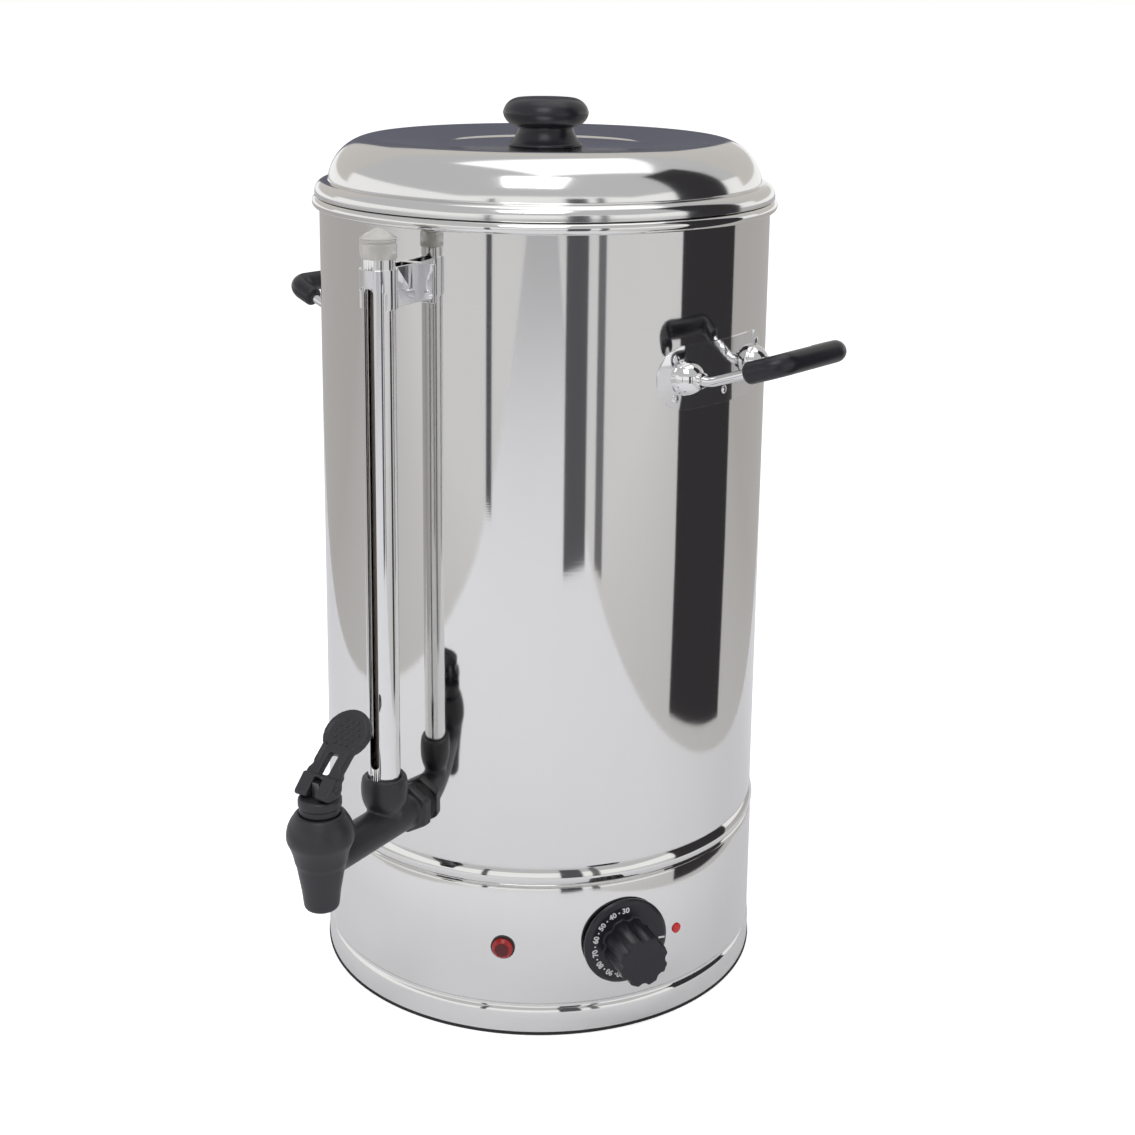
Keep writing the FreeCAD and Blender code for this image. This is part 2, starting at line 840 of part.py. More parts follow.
def lid_shell():
    item = body("lid_shell")
    wall = S.lid_wall
    inner_wall = S.lid_wall_radius - wall
    roll = S.lid_roll
    band_top = LID_LOW + S.lid_band
    dome = S.lid_dome_radius
    slope_end = S.dish_radius - S.dish_slope
    ring = S.dish_ring_radius
    hole = S.knob_screw_radius + S.plate_gap / 2
    sketch = outline(item, "section")
    draw(sketch, [
        (LID_FLANGE - wall, LID_LOW),
        (LID_FLANGE, LID_LOW),
        (LID_FLANGE, band_top),
        (LID_ROLL_END, LID_ROLL_TOP, roll),
        (S.lid_wall_radius, LID_ROLL_TOP),
        (S.lid_wall_radius, DOME_LOW),
        (S.dish_radius, DOME_TOP, dome),
        (slope_end, DISH_EDGE),
        (ring, DISH_EDGE),
        (ring - S.dish_ring_step, DISH_FLOOR),
        (hole, DISH_FLOOR),
        (hole, DISH_FLOOR - wall),
        (ring - S.dish_ring_step * 2, DISH_FLOOR - wall),
        (ring - S.dish_ring_step, DISH_EDGE - wall),
        (slope_end - wall / 2, DISH_EDGE - wall),
        (S.dish_radius - wall / 2, DOME_TOP - wall),
        (inner_wall, DOME_LOW, -(dome - wall)),
        (inner_wall, LID_ROLL_TOP - wall),
        (LID_ROLL_END, LID_ROLL_TOP - wall),
        (LID_FLANGE - wall, band_top, -(roll - wall)),
    ])
    revolve(item, sketch)


def lid_skirt():
    """The ring under the lid that keeps it centred in the rim."""
    item = body("lid_skirt")
    outside = RIM_MIDDLE - S.rim_bead / 2 - S.lid_skirt_gap
    sketch = outline(item, "section")
    box(sketch, outside - S.lid_skirt_wall, S.rim_height - S.lid_skirt_drop,
        outside, LID_ROLL_TOP - S.lid_wall)
    revolve(item, sketch)


def lid_knob():
    item = body("lid_knob")
    low = DISH_FLOOR
    neck = low + S.knob_neck_height
    top = neck + S.knob_head_height
    middle = neck + S.knob_head_height / 2
    bore = S.knob_screw_radius + S.fit_gap
    bore_top = low + S.knob_screw_depth
    half = S.knob_head_height / 2
    sketch = outline(item, "section")
    draw(sketch, [
        (bore, low),
        (S.knob_foot_radius, low),
        (S.knob_foot_radius, low + S.knob_foot_edge),
        (S.knob_neck_radius, neck, -(S.knob_neck_height * 1.3)),
        (S.knob_head_radius, middle, half * 1.1),
        (S.knob_top_radius, top, half * 1.25),
        (0, top - S.knob_top_dip, -(S.knob_top_radius * 5)),
        (0, bore_top),
        (bore, bore_top),
    ])
    revolve(item, sketch)


def lid_fixing():
    """The washer and the screw that hold the knob from under the dish."""
    low = DISH_FLOOR - S.lid_wall
    washer = body("knob_washer")
    ring = outline(washer, "ring", "XY_Plane", shift=(0, 0, low))
    circle(ring, 0, 0, S.knob_washer_radius)
    circle(ring, 0, 0, S.knob_screw_radius + S.plate_gap)
    pad(washer, ring, S.knob_washer_wall, back=True)
    screw = body("knob_screw")
    head = low - S.knob_washer_wall
    rise = S.knob_screw_head * 0.6
    shank_top = DISH_FLOOR + S.knob_screw_depth - 1
    section = outline(screw, "section")
    draw(section, [
        (0, head - rise),
        (S.knob_screw_head * 0.6, head - rise),
        (S.knob_screw_head, head - rise / 2, S.knob_screw_head * 0.6),
        (S.knob_screw_head, head),
        (S.knob_screw_radius, head),
        (S.knob_screw_radius, shank_top),
        (0, shank_top),
    ])
    revolve(screw, section)


def handle_points():
    """The rod's path in the handle's own frame, outwards along -Y."""
    half = S.handle_spacing.value / 2
    plate = S.body_radius.value + S.handle_plate_wall.value + 2 * S.fit_gap.value
    inner = half - S.rod_radius.value
    start = math.sqrt(plate ** 2 - inner ** 2)
    bend = start + S.handle_run.value
    foot = math.sqrt(S.body_radius.value ** 2 - half ** 2)
    bar = foot + S.handle_reach.value
    rise = S.handle_rise.value
    left = [Vector(-half, -start, 0), Vector(-half, -bend, 0), Vector(-half, -bar, rise)]
    right = [Vector(-point.x, point.y, point.z) for point in reversed(left)]
    return left + right


def handle(side, azimuth):
    height = S.handle_height
    half = S.handle_spacing / 2
    outside = S.body_radius + S.handle_plate_wall
    plate = body(f"handle_plate_{side}")
    stadium = outline(plate, "stadium")
    lobe = S.handle_plate_half
    draw(stadium, [
        (-half, -lobe, lobe),
        (half, -lobe),
        (half + lobe, 0, lobe),
        (half, lobe, lobe),
        (-half, lobe),
        (-half - lobe, 0, lobe),
    ])
    pad(plate, stadium, outside + 2)
    ring_cut(plate, "inner", None, S.body_radius, lobe * 4)
    ring_cut(plate, "outer", outside, outside * 2, lobe * 4)
    place(plate, z=height, azimuth=azimuth)

    points = handle_points()
    radii = [S.handle_bend.value, S.handle_corner.value]
    radii = radii + radii[::-1]
    rod = tube(bent_wire(points, radii), S.rod_radius.value)
    solid_node(f"handle_rod_{side}", rod, azimuth, height)
    run = (points[1] - points[2]).normalize() * S.grip_tail.value
    ends = [points[2] + run, points[3] + Vector(-run.x, run.y, run.z)]
    grip_path = bent_wire([ends[0], points[2], points[3], ends[1]], radii[1:3])
    grip = tube(grip_path, S.grip_radius.value)
    mouths = [edge for edge in grip.Edges if edge.Length < 2 * math.pi * S.grip_radius.value + 1
              and edge.isClosed()]
    grip = grip.makeFillet(S.grip_radius.value / 3, mouths)
    bore = tube(bent_wire(points, radii), S.rod_radius.value + S.fit_gap.value)
    solid_node(f"handle_grip_{side}", grip.cut(bore), azimuth, height)

    pair = [ferrule(f"ferrule_{edge + 1}_{side}", half * edge, azimuth) for edge in (-1, 1)]
    group(f"handle_ferrules_{side}", pair)
    rivets(side, azimuth)


def ferrule(name, x, azimuth):
    """A domed sleeve that carries one end of the rod on the backing plate."""
    item = doc.addObject("PartDesign::Body", name)
    outside = S.body_radius + S.handle_plate_wall
    half = S.handle_spacing / 2
    foot = root(outside * outside - half * half)
    sunk = foot - S.ferrule_radius
    tip = foot + S.ferrule_height
    bore = S.rod_radius + S.fit_gap
    collar = tip - S.ferrule_edge * 2
    sketch = outline(item, "section", "XY_Plane")
    draw(sketch, [
        (x + bore, -sunk),
        (x + bore, -tip),
        (x + S.ferrule_tip, -tip),
        (x + S.ferrule_tip, -collar),
        (x + S.ferrule_radius, -(foot + S.ferrule_edge), S.ferrule_radius * 1.15),
        (x + S.ferrule_radius, -sunk),
    ])
    line_axis(sketch, x)
    revolve(item, sketch, "Axis0")
    ring_cut(item, "seat", None, outside, S.ferrule_radius * 4)
    place(item, z=S.handle_height, azimuth=azimuth)
    return item


def rivets(side, azimuth):
    """Six low rivets through each backing plate."""
    radius = S.body_radius + S.handle_plate_wall
    items = []
    for step in (-1, 0, 1):
        for rise in (1, -1):
            cone = part("Cone", f"rivet_{side}_{step + 1}_{rise + 1}", Radius1=S.rivet_radius,
                        Radius2=S.rivet_radius / 2, Height=S.rivet_height)
            turn = azimuth + S.rivet_azimuth * step
            lie_outwards(cone, turn, radius, S.handle_height + S.rivet_rise * rise)
            items.append(cone)
    return group(f"handle_rivets_{side}", items)


def tap_frame(item):
    place(item, y=-S.tap_reach, z=S.tap_height)


def tap_body():
    """The bell, spout, shank, gauge socket and threaded tail, with their waterways."""
    item = body("tap_body")
    spout = S.spout_radius
    section = outline(item, "bell")
    draw(section, [
        (0, -S.spout_drop),
        (spout - 1.5, -S.spout_drop),
        (spout, 1.5 - S.spout_drop),
        (spout + 1.1, -S.spout_drop * 0.6),
        (S.bell_waist - 0.6, 0),
        (S.bell_waist, 0.4),
        (S.bell_radius, S.bell_middle, -40),
        (S.bell_shoulder, S.bell_top - 2, S.bell_radius * 0.95),
        (S.bell_shoulder - 1.5, S.bell_top, 2.5),
        (0, S.bell_top),
    ])
    revolve(item, section)
    hex_start = S.tap_reach - S.body_radius - S.seal_wall - S.hex_length
    shank = outline(item, "shank")
    circle(shank, 0, 0, S.shank_radius)
    pad(item, shank, hex_start + 1, back=True)
    flange = outline(item, "flange", shift=(0, 0, -hex_start))
    hexagon(flange, S.hex_across)
    pad(item, flange, S.hex_length, back=True)
    tail = outline(item, "tail", shift=(0, 0, -hex_start))
    circle(tail, 0, 0, S.tail_radius)
    tail_length = S.hex_length + S.seal_wall * 2 + S.shell_wall + S.locknut_length + S.tail_end
    pad(item, tail, tail_length, back=True)
    socket = outline(item, "socket", "YZ_Plane")
    middle = S.tap_reach - S.gauge_radius
    rim = S.socket_rim
    draw(socket, [
        (middle, 0),
        (middle + S.socket_base, 0),
        (middle + S.socket_base, S.shank_radius - 2),
        (middle + S.socket_belly, rim * 0.6, S.socket_belly * 1.4),
        (middle + S.socket_neck, rim, S.socket_belly * 2),
        (middle, rim),
    ])
    line_axis(socket, middle)
    revolve(item, socket, "Axis0")

    cavity = outline(item, "cavity")
    seat = -S.seat_depth
    draw(cavity, [
        (0, -S.spout_drop - 1),
        (S.spout_bore, -S.spout_drop - 1),
        (S.spout_bore, seat - 3),
        (S.seat_bore, seat - 2),
        (S.seat_bore, seat),
        (S.chamber_radius, seat),
        (S.chamber_radius, S.bell_top + 1),
        (0, S.bell_top + 1),
    ])
    cut(item, cavity)
    inlet = outline(item, "inlet")
    circle(inlet, 0, S.inlet_rise, S.shank_bore)
    cut(item, inlet, hex_start + tail_length + 1)
    wells = outline(item, "wells", "YZ_Plane")
    glass_seat = S.guard_seat - S.gauge_seal_height
    draw(wells, [
        (middle, 0),
        (middle + S.glass_radius - S.glass_wall, 0),
        (middle + S.glass_radius - S.glass_wall, glass_seat),
        (middle + S.gauge_seal_radius + S.fit_gap, glass_seat),
        (middle + S.gauge_seal_radius + S.fit_gap, S.guard_seat),
        (middle + S.guard_radius + S.fit_gap, S.guard_seat),
        (middle + S.guard_radius + S.fit_gap, rim + 1),
        (middle, rim + 1),
    ])
    line_axis(wells, middle)
    cut(item, wells, axis="Axis0")
    scoop = outline(item, "scoop", "YZ_Plane")
    dip = S.socket_neck * 1.6
    draw(scoop, [
        (middle - dip, rim),
        (middle, rim - 3, dip * 2.4),
        (middle + dip, rim, dip * 2.4),
    ])
    cut(item, scoop, S.socket_belly * 2 + 2, middle=True)
    tap_frame(item)


def tap_seals():
    """The two rubber washers, one each side of the tank wall, shaped to its curve."""
    for name, start in (
        ("tap_seal", S.body_radius + S.seal_wall),
        ("tap_inner_washer", SHELL_INSIDE - S.seal_wall),
    ):
        outside = name == "tap_seal"
        item = body(name)
        ring = outline(item, "ring", shift=(0, S.tap_height, start))
        circle(ring, 0, 0, S.seal_radius)
        circle(ring, 0, 0, S.tail_radius + S.fit_gap)
        pad(item, ring, S.seal_wall * 2, back=outside)
        if outside:
            ring_cut(item, "seat", None, S.body_radius, S.rim_height)
        else:
            ring_cut(item, "seat", SHELL_INSIDE, S.tap_reach, S.rim_height)


def tap_locknut():
    nut = part("Prism", "locknut_blank", Circumradius=S.locknut_across / 2 / cosine(dim(30)),
               Height=S.locknut_length)
    nut.Polygon = HEX_SIDES
    hole = part("Cylinder", "locknut_hole", Radius=S.tail_radius + S.fit_gap,
                Height=S.locknut_length + 2)
    start = SHELL_INSIDE - S.seal_wall - S.locknut_length
    lie_outwards(nut, 0, start, S.tap_height)
    lie_outwards(hole, 0, start - 1, S.tap_height)
    node(minus("tap_locknut", nut, hole), "tap_locknut")


def tap_bonnet():
    item = body("tap_bonnet")
    low = S.bell_top
    high = low + S.bonnet_height
    bore = S.stem_radius + S.fit_gap
    step = low + S.bonnet_height * 0.4
    spigot = S.chamber_radius - S.fit_gap * 2
    section = outline(item, "section")
    draw(section, [
        (bore, low - S.bonnet_spigot),
        (spigot, low - S.bonnet_spigot),
        (spigot, low),
        (S.bonnet_collar, low),
        (S.bonnet_collar, step),
        (S.bonnet_radius, step + 0.7),
        (S.bonnet_radius, high - 1),
        (S.bonnet_radius - 1, high),
        (bore, high),
    ])
    revolve(item, section)
    tap_frame(item)


def tap_stem():
    item = body("tap_stem")
    eye_middle = S.bell_top + S.bonnet_height + S.pin_height
    eye_low = S.bell_top + S.bonnet_height + S.lid_gap
    perch_low = S.seat_cup_height - S.seat_depth + S.lid_gap
    perch_high = perch_low + S.perch_wall
    section = outline(item, "section")
    draw(section, [
        (0, -S.seat_depth + S.perch_wall),
        (S.stem_radius, -S.seat_depth + S.perch_wall),
        (S.stem_radius, perch_low),
        (S.perch_radius, perch_low),
        (S.perch_radius, perch_high),
        (S.stem_radius, perch_high),
        (S.stem_radius, eye_low + 1),
        (0, eye_low + 1),
    ])
    revolve(item, section)
    eye = outline(item, "eye", "YZ_Plane")
    half = S.eye_depth / 2
    top = eye_middle + half
    box(eye, -half, eye_low, half, top - 1)
    pad(item, eye, S.eye_width, middle=True)
    hole = outline(item, "hole", "YZ_Plane")
    circle(hole, 0, eye_middle, S.pin_radius + S.fit_gap / 2)
    cut(item, hole, S.eye_width + 2, middle=True)
    tap_frame(item)


def tap_small_parts():
    """The lever's pin, the seat cup and the return spring."""
    eye_middle = S.bell_top + S.bonnet_height + S.pin_height
    pin = body("tap_lever_pin")
    rod = outline(pin, "rod", "YZ_Plane")
    circle(rod, 0, eye_middle, S.pin_radius)
    pad(pin, rod, S.lever_half_width * 2, middle=True)
    tap_frame(pin)

    cup = body("tap_seat_cup")
    low = S.lid_gap - S.seat_depth
    high = low + S.seat_cup_height
    inner = S.stem_radius + S.fit_gap
    section = outline(cup, "section")
    draw(section, [
        (0, low),
        (S.seat_cup_radius - 1.5, low),
        (S.seat_cup_radius, low + 1.5),
        (S.seat_cup_radius, high - 2),
        (S.seat_cup_radius - 2, high),
        (inner, high),
        (inner, S.perch_wall - S.seat_depth - S.fit_gap),
        (0, S.perch_wall - S.seat_depth - S.fit_gap),
    ])
    revolve(cup, section)
    tap_frame(cup)

    spring = body("tap_spring")
    wire = S.spring_wire
    start = high + S.perch_wall + wire + S.fit_gap
    end = S.bell_top - S.bonnet_spigot - wire - S.fit_gap
    ring = outline(spring, "wire")
    circle(ring, S.spring_radius, start, wire)
    coil = feature(spring, "AdditiveHelix", ring)
    coil.ReferenceAxis = (ring, ["V_Axis"])
    coil.Mode = "pitch-height-angle"
    bind(coil, "Height", end - start)
    bind(coil, "Pitch", (end - start) / S.spring_turns)
    tap_frame(spring)


def tap_lever():
    """The lever leans back when shut. Its heel is flat there, and lifts the stem as it tilts."""
    item = body("tap_lever")
    heel = S.pin_height - S.lid_gap
    pace = S.stem_travel / (S.lever_tilt * (math.pi / HALF_TURN))
    far = heel + S.stem_travel
    nose_y = -(far * sine(S.lever_tilt)) - pace * cosine(S.lever_tilt)
    nose_z = pace * sine(S.lever_tilt) - far * cosine(S.lever_tilt)
    hub = outline(item, "hub", "YZ_Plane")
    draw(hub, [
        (0, -heel),
        (heel * 0.72, heel * -0.72, heel * 1.05),
        (heel, 0, heel * 1.05),
        (heel * 0.72, heel * 0.72, heel * 1.05),
        (0, heel, heel * 1.05),
        (nose_y, nose_z + 2),
        (nose_y, nose_z),
        (-pace, -heel, heel + S.stem_travel / 2),
    ])
    pad(item, hub, S.lever_half_width * 2, middle=True)
    width, neck, paddle = S.lever_half_width, S.lever_neck, S.paddle_radius
    length = S.lever_length
    neck_y = length - root(paddle * paddle - neck * neck)
    front = S.lever_wall / 2
    lean = -S.lever_lean
    arm = outline(item, "arm", axis=(1, 0, 0), angle=lean)
    draw(arm, [
        (-width, 1),
        (width, 1),
        (width, heel + 2),
        (neck, heel + 5),
        (neck, neck_y),
        (paddle, length, paddle),
        (0, length + paddle, paddle),
        (-paddle, length, paddle),
        (-neck, neck_y, paddle),
        (-neck, heel + 5),
        (-width, heel + 2),
    ])
    pad(item, arm, S.lever_wall, middle=True)
    rails = leaning(item, "rails", front - 1)
    for side in (1, -1):
        edges = sorted((neck * side, (neck - 2.2) * side), key=lambda size: size.value)
        box(rails, edges[0], heel + 6, edges[1], neck_y + 1)
    pad(item, rails, S.lever_rail + 1)
    dish = leaning(item, "dish", front - S.lever_rail)
    circle(dish, 0, length, paddle - 2.4)
    cut(item, dish, S.lever_rail + 1, back=True)
    half = S.lever_slot_width / 2
    window = leaning(item, "window", 0)
    box(window, -half, S.lever_slot_start - 2, half, S.lever_slot_end)
    cut(item, window, S.lever_wall * 2, middle=True)
    fork = outline(item, "fork", "YZ_Plane")
    reach = far * 1.6
    box(fork, -reach, -reach, heel + 1, heel - 1)
    cut(item, fork, S.eye_width + 1, middle=True)
    hole = outline(item, "hole", "YZ_Plane")
    circle(hole, 0, 0, S.pin_radius + S.fit_gap / 2)
    cut(item, hole, width * 2 + 2, middle=True)
    place(item, y=-S.tap_reach, z=PIVOT_HEIGHT)


def leaning(item, name, rise):
    """A sketch parallel to the lever's arm, raised by a distance along its normal."""
    rise = dim(rise)
    y = rise * sine(S.lever_lean)
    z = rise * cosine(S.lever_lean)
    return outline(item, name, shift=(0, y, z), axis=(1, 0, 0), angle=-S.lever_lean)


def level_gauge():
    """The glass, its slotted guard, seal and cap, upright on the tap's socket."""
    y = -S.gauge_radius
    seat = S.tap_height + S.guard_seat
    glass_low = seat - S.gauge_seal_height + S.fit_gap
    glass = body("gauge_glass")
    ring = outline(glass, "ring", "XY_Plane")
    circle(ring, 0, 0, S.glass_radius)
    circle(ring, 0, 0, S.glass_radius - S.glass_wall)
    pad(glass, ring, S.glass_top - glass_low)
    place(glass, y=y, z=glass_low)

    seal = body("gauge_seal")
    ring = outline(seal, "ring", "XY_Plane")
    circle(ring, 0, 0, S.gauge_seal_radius)
    circle(ring, 0, 0, S.glass_radius + S.fit_gap)
    pad(seal, ring, S.gauge_seal_height - S.fit_gap)
    place(seal, y=y, z=glass_low)

    guard = body("gauge_guard")
    ring = outline(guard, "ring", "XY_Plane")
    circle(ring, 0, 0, S.guard_radius)
    circle(ring, 0, 0, S.guard_radius - S.guard_wall)
    pad(guard, ring, S.guard_top - seat)
    slot = outline(guard, "slot")
    half = S.guard_slot_width / 2
    low = S.guard_slot_low - seat
    high = S.guard_slot_high - seat
    draw(slot, [
        (-half, low + half),
        (0, low, half),
        (half, low + half, half),
        (half, high - half),
        (0, high, half),
        (-half, high - half, half),
    ])
    cut(guard, slot, S.guard_radius + 1, back=True)
    place(guard, y=y, z=seat)

    cap = body("gauge_cap")
    low = S.guard_top - S.cap_skirt
    edge = low + S.cap_height
    tip = edge + S.cap_cone
    inner = S.guard_radius + S.fit_gap
    section = outline(cap, "section")
    glass_bore = S.glass_radius + S.fit_gap
    ledge = S.guard_top + S.fit_gap
    draw(section, [
        (inner, low),
        (S.cap_radius, low),
        (S.cap_radius, edge - 4),
        (S.cap_radius - 0.6, edge - 3.4),
        (S.cap_radius - 0.6, edge - 2.4),
        (S.cap_radius, edge - 1.8),
        (S.cap_radius - 0.3, edge),
        (2.5, tip - 0.6),
        (1, tip),
        (1, S.glass_top + 2),
        (glass_bore, S.glass_top + 1),
        (glass_bore, ledge),
        (inner, ledge),
    ])
    revolve(cap, section)
    place(cap, y=y)


def gauge_clip():
    """A band round the guard tube, bridged to a curved foot on the tank."""
    item = body("gauge_clip")
    y = -S.gauge_radius
    inner = S.guard_radius + S.fit_gap
    outer = inner + S.clip_wall
    low = S.clip_height
    flat = "XY_Plane"
    foot_out = S.body_radius + S.clip_wall
    half = S.clip_bridge / 2
    blank = outline(item, "blank", flat, shift=(0, 0, low))
    box(blank, -S.clip_foot / 2, -foot_out, S.clip_foot / 2, -(S.body_radius - 3))
    pad(item, blank, S.clip_band)
    ring_cut(item, "foot", foot_out, S.gauge_radius, S.rim_height * 2)
    bridge = outline(item, "bridge", flat, shift=(0, 0, low))
    box(bridge, -half, y, half, -(S.body_radius - 3))
    pad(item, bridge, S.clip_band)
    band = outline(item, "band", flat, shift=(0, 0, low))
    circle(band, 0, y, outer)
    pad(item, band, S.clip_band)
    hollow = outline(item, "hollow", flat, shift=(0, 0, low - 1))
    box(hollow, S.clip_wall - half, y, half - S.clip_wall, -(foot_out + S.clip_wall))
    cut(item, hollow, S.clip_band + 2, back=True)
    bore = outline(item, "bore", flat, shift=(0, 0, low - 1))
    circle(bore, 0, y, inner)
    cut(item, bore, S.clip_band + 2, back=True)
    tank = outline(item, "tank", flat, shift=(0, 0, low - 1))
    circle(tank, 0, 0, S.body_radius)
    cut(item, tank, S.clip_band + 2, back=True)
    arch = outline(item, "arch", shift=(0, low, S.gauge_radius + S.guard_radius / 2))
    rise = S.clip_arch
    wide = outer + 1
    draw(arch, [
        (-wide, -1),
        (wide, -1),
        (wide, rise / 2),
        (0, rise, wide * 1.2),
        (-wide, rise / 2, wide * 1.2),
    ])
    cut(item, arch, S.guard_radius + 3, back=True)
    for side in (1, -1):
        radial_hole(item, f"hole_{side + 1}", S.clip_screw_azimuth * side,
                    low + S.clip_screw_rise, S.clip_screw_radius + S.fit_gap, foot_out + 4)


def clip_screws():
    """Pan-head screws with nuts inside, through the clip's foot and the tank wall."""
    screws = []
    nuts = []
    radius = S.clip_screw_radius
    height = S.clip_height + S.clip_screw_rise
    foot_out = S.body_radius + S.clip_wall
    for side in (1, -1):
        azimuth = S.clip_screw_azimuth * side
        shank = part("Cylinder", f"clip_shank_{side + 1}", Radius=radius,
                     Height=S.clip_wall + S.shell_wall + radius * 3)
        head = part("Cone", f"clip_head_{side + 1}", Radius1=radius * 2, Radius2=radius * 1.2,
                    Height=radius * 1.3)
        lie_outwards(shank, azimuth, SHELL_INSIDE - radius * 3, height)
        lie_outwards(head, azimuth, foot_out, height)
        screw = doc.addObject("Part::Fuse", f"clip_screw_{side + 1}")
        screw.Base = shank
        screw.Tool = head
        screws.append(screw)
        blank = part("Prism", f"clip_nut_blank_{side + 1}", Circumradius=radius * 2,
                     Height=radius * 1.5)
        blank.Polygon = HEX_SIDES
        hole = part("Cylinder", f"clip_nut_hole_{side + 1}", Radius=radius + S.fit_gap,
                    Height=radius * 4)
        seat = SHELL_INSIDE - radius * 1.5 - S.fit_gap * 2
        lie_outwards(blank, azimuth, seat, height)
        lie_outwards(hole, azimuth, seat - radius, height)
        nuts.append(minus(f"clip_nut_{side + 1}", blank, hole))
    group("clip_screws", screws)
    group("clip_nuts", nuts)


# The dial, its spindle, the thermostat and what stands beside them on the skirt.

DIAL_BACK = S.skirt_radius + S.dial_gap
DIAL_FACE = DIAL_BACK + S.dial_wall


def thermostat_knob():
    """A round skirt for the numbers, with a lobed grip in front. Outwards is -Y."""
    item = body("thermostat_knob")
    bevel = 1.2
    disc = outline(item, "disc", "YZ_Plane")
    draw(disc, [
        (-DIAL_BACK, 0),
        (-DIAL_BACK, S.dial_radius),
        (bevel - DIAL_FACE, S.dial_radius),
        (-DIAL_FACE, S.dial_radius - bevel * 2),
        (-DIAL_FACE, 0),
    ])
    revolve(item, disc, "H_Axis")
    grip = outline(item, "grip", shift=(0, 0, DIAL_FACE - 1))
    circle(grip, 0, 0, S.grip_core_radius)
    pad(item, grip, S.dial_grip_length + 1)
    for step in range(LOBES):
        turn = dim(FULL_TURN / LOBES * step)
        reach = S.grip_core_radius + S.grip_lobe_radius * 0.55
        flute = outline(item, f"flute_{step}", shift=(0, 0, DIAL_FACE))
        circle(flute, reach * sine(turn), reach * cosine(turn), S.grip_lobe_radius)
        cut(item, flute, S.dial_grip_length + 2, back=True)
    hollow = outline(item, "hollow", shift=(0, 0, DIAL_BACK - 1))
    circle(hollow, 0, 0, S.dial_radius - 5)
    circle(hollow, 0, 0, S.bush_radius + 1.2)
    cut(item, hollow, S.dial_hollow + 1, back=True)
    bore = outline(item, "bore", shift=(0, 0, DIAL_BACK - 1))
    circle(bore, 0, 0, S.spindle_radius + S.fit_gap)
    cut(item, bore, S.spindle_depth + 1, back=True)
    place(item, z=S.dial_height, azimuth=S.dial_azimuth)


def thermostat():
    azimuth, height = S.dial_azimuth, S.dial_height
    flange = SKIRT_INSIDE - S.thermostat_step
    spindle = part("Cylinder", "spindle_bar", Radius=S.spindle_radius,
                   Height=DIAL_BACK + S.spindle_depth - flange + 6)
    lie_outwards(spindle, azimuth, flange - 6.3, height)
    node(spindle, "thermostat_spindle")

    item = body("thermostat_body")
    half = S.thermostat_width / 2
    back = flange - S.thermostat_depth
    block = outline(item, "block", shift=(0, 0, back))
    box(block, -half, -half, half, half)
    pad(item, block, S.thermostat_depth - 2)
    plate = outline(item, "plate", shift=(0, 0, flange - 2))
    box(plate, -S.bush_radius - 3, -S.thermostat_flange, S.bush_radius + 3, S.thermostat_flange)
    pad(item, plate, 2)
    bush = outline(item, "bush", shift=(0, 0, flange - 1))
    circle(bush, 0, 0, S.bush_radius)
    pad(item, bush, S.skirt_radius - flange + 1)
    bore = outline(item, "bore", shift=(0, 0, flange - 7))
    circle(bore, 0, 0, S.spindle_radius + S.fit_gap)
    cut(item, bore, S.skirt_radius - flange + 9, back=True)
    holes = outline(item, "holes", shift=(0, 0, flange - 9))
    for side in (1, -1):
        circle(holes, 0, S.thermostat_screw * side, S.base_screw_radius - S.plate_gap)
    cut(item, holes, 10, back=True)
    place(item, z=height, azimuth=azimuth)

    screws = []
    radius = S.base_screw_radius - S.plate_gap - S.fit_gap
    for side in (1, -1):
        shank = part("Cylinder", f"stat_shank_{side + 1}", Radius=radius,
                     Height=S.skirt_radius - flange + 7)
        head = part("Cone", f"stat_head_{side + 1}", Radius1=radius * 1.7, Radius2=radius * 1.3,
                    Height=1.3)
        rise = height + S.thermostat_screw * side
        lie_outwards(shank, azimuth, flange - 7, rise)
        lie_outwards(head, azimuth, S.skirt_radius, rise)
        screw = doc.addObject("Part::Fuse", f"stat_screw_{side + 1}")
        screw.Base = shank
        screw.Tool = head
        screws.append(screw)
    group("thermostat_screws", screws)


def pilot_lamp():
    azimuth, height = S.pilot_azimuth, S.pilot_height
    front = S.skirt_radius
    lens = body("pilot_lens")
    section = outline(lens, "section", "YZ_Plane")
    top = front + S.pilot_bezel_rise
    draw(section, [
        (-top, 0),
        (-top, S.pilot_radius),
        (-(front + S.pilot_rise * 0.6), S.pilot_radius),
        (-(front + S.pilot_rise), S.pilot_flat),
        (-(front + S.pilot_rise + 0.4), S.pilot_flat / 3),
        (-(front + S.pilot_rise + 0.4), 0),
    ])
    revolve(lens, section, "H_Axis")
    place(lens, z=height, azimuth=azimuth)

    holder = body("pilot_body")
    section = outline(holder, "section", "YZ_Plane")
    back = front - S.pilot_depth
    draw(section, [
        (-back, 0),
        (-back, S.pilot_stem),
        (-(front + 0.2), S.pilot_stem),
        (-(front + 0.2), S.pilot_bezel),
        (-(top - 0.2), S.pilot_bezel),
        (-top, S.pilot_bezel - 0.3),
        (-top, 0),
    ])
    revolve(holder, section, "H_Axis")
    place(holder, z=height, azimuth=azimuth)

    nut = part("Cylinder", "pilot_nut_blank", Radius=S.pilot_bezel + 1, Height=2.5)
    hole = part("Cylinder", "pilot_nut_hole", Radius=S.pilot_stem + S.fit_gap, Height=6)
    seat = SKIRT_INSIDE - 3
    lie_outwards(nut, azimuth, seat, height)
    lie_outwards(hole, azimuth, seat - 2, height)
    node(minus("pilot_nut", nut, hole), "pilot_nut")


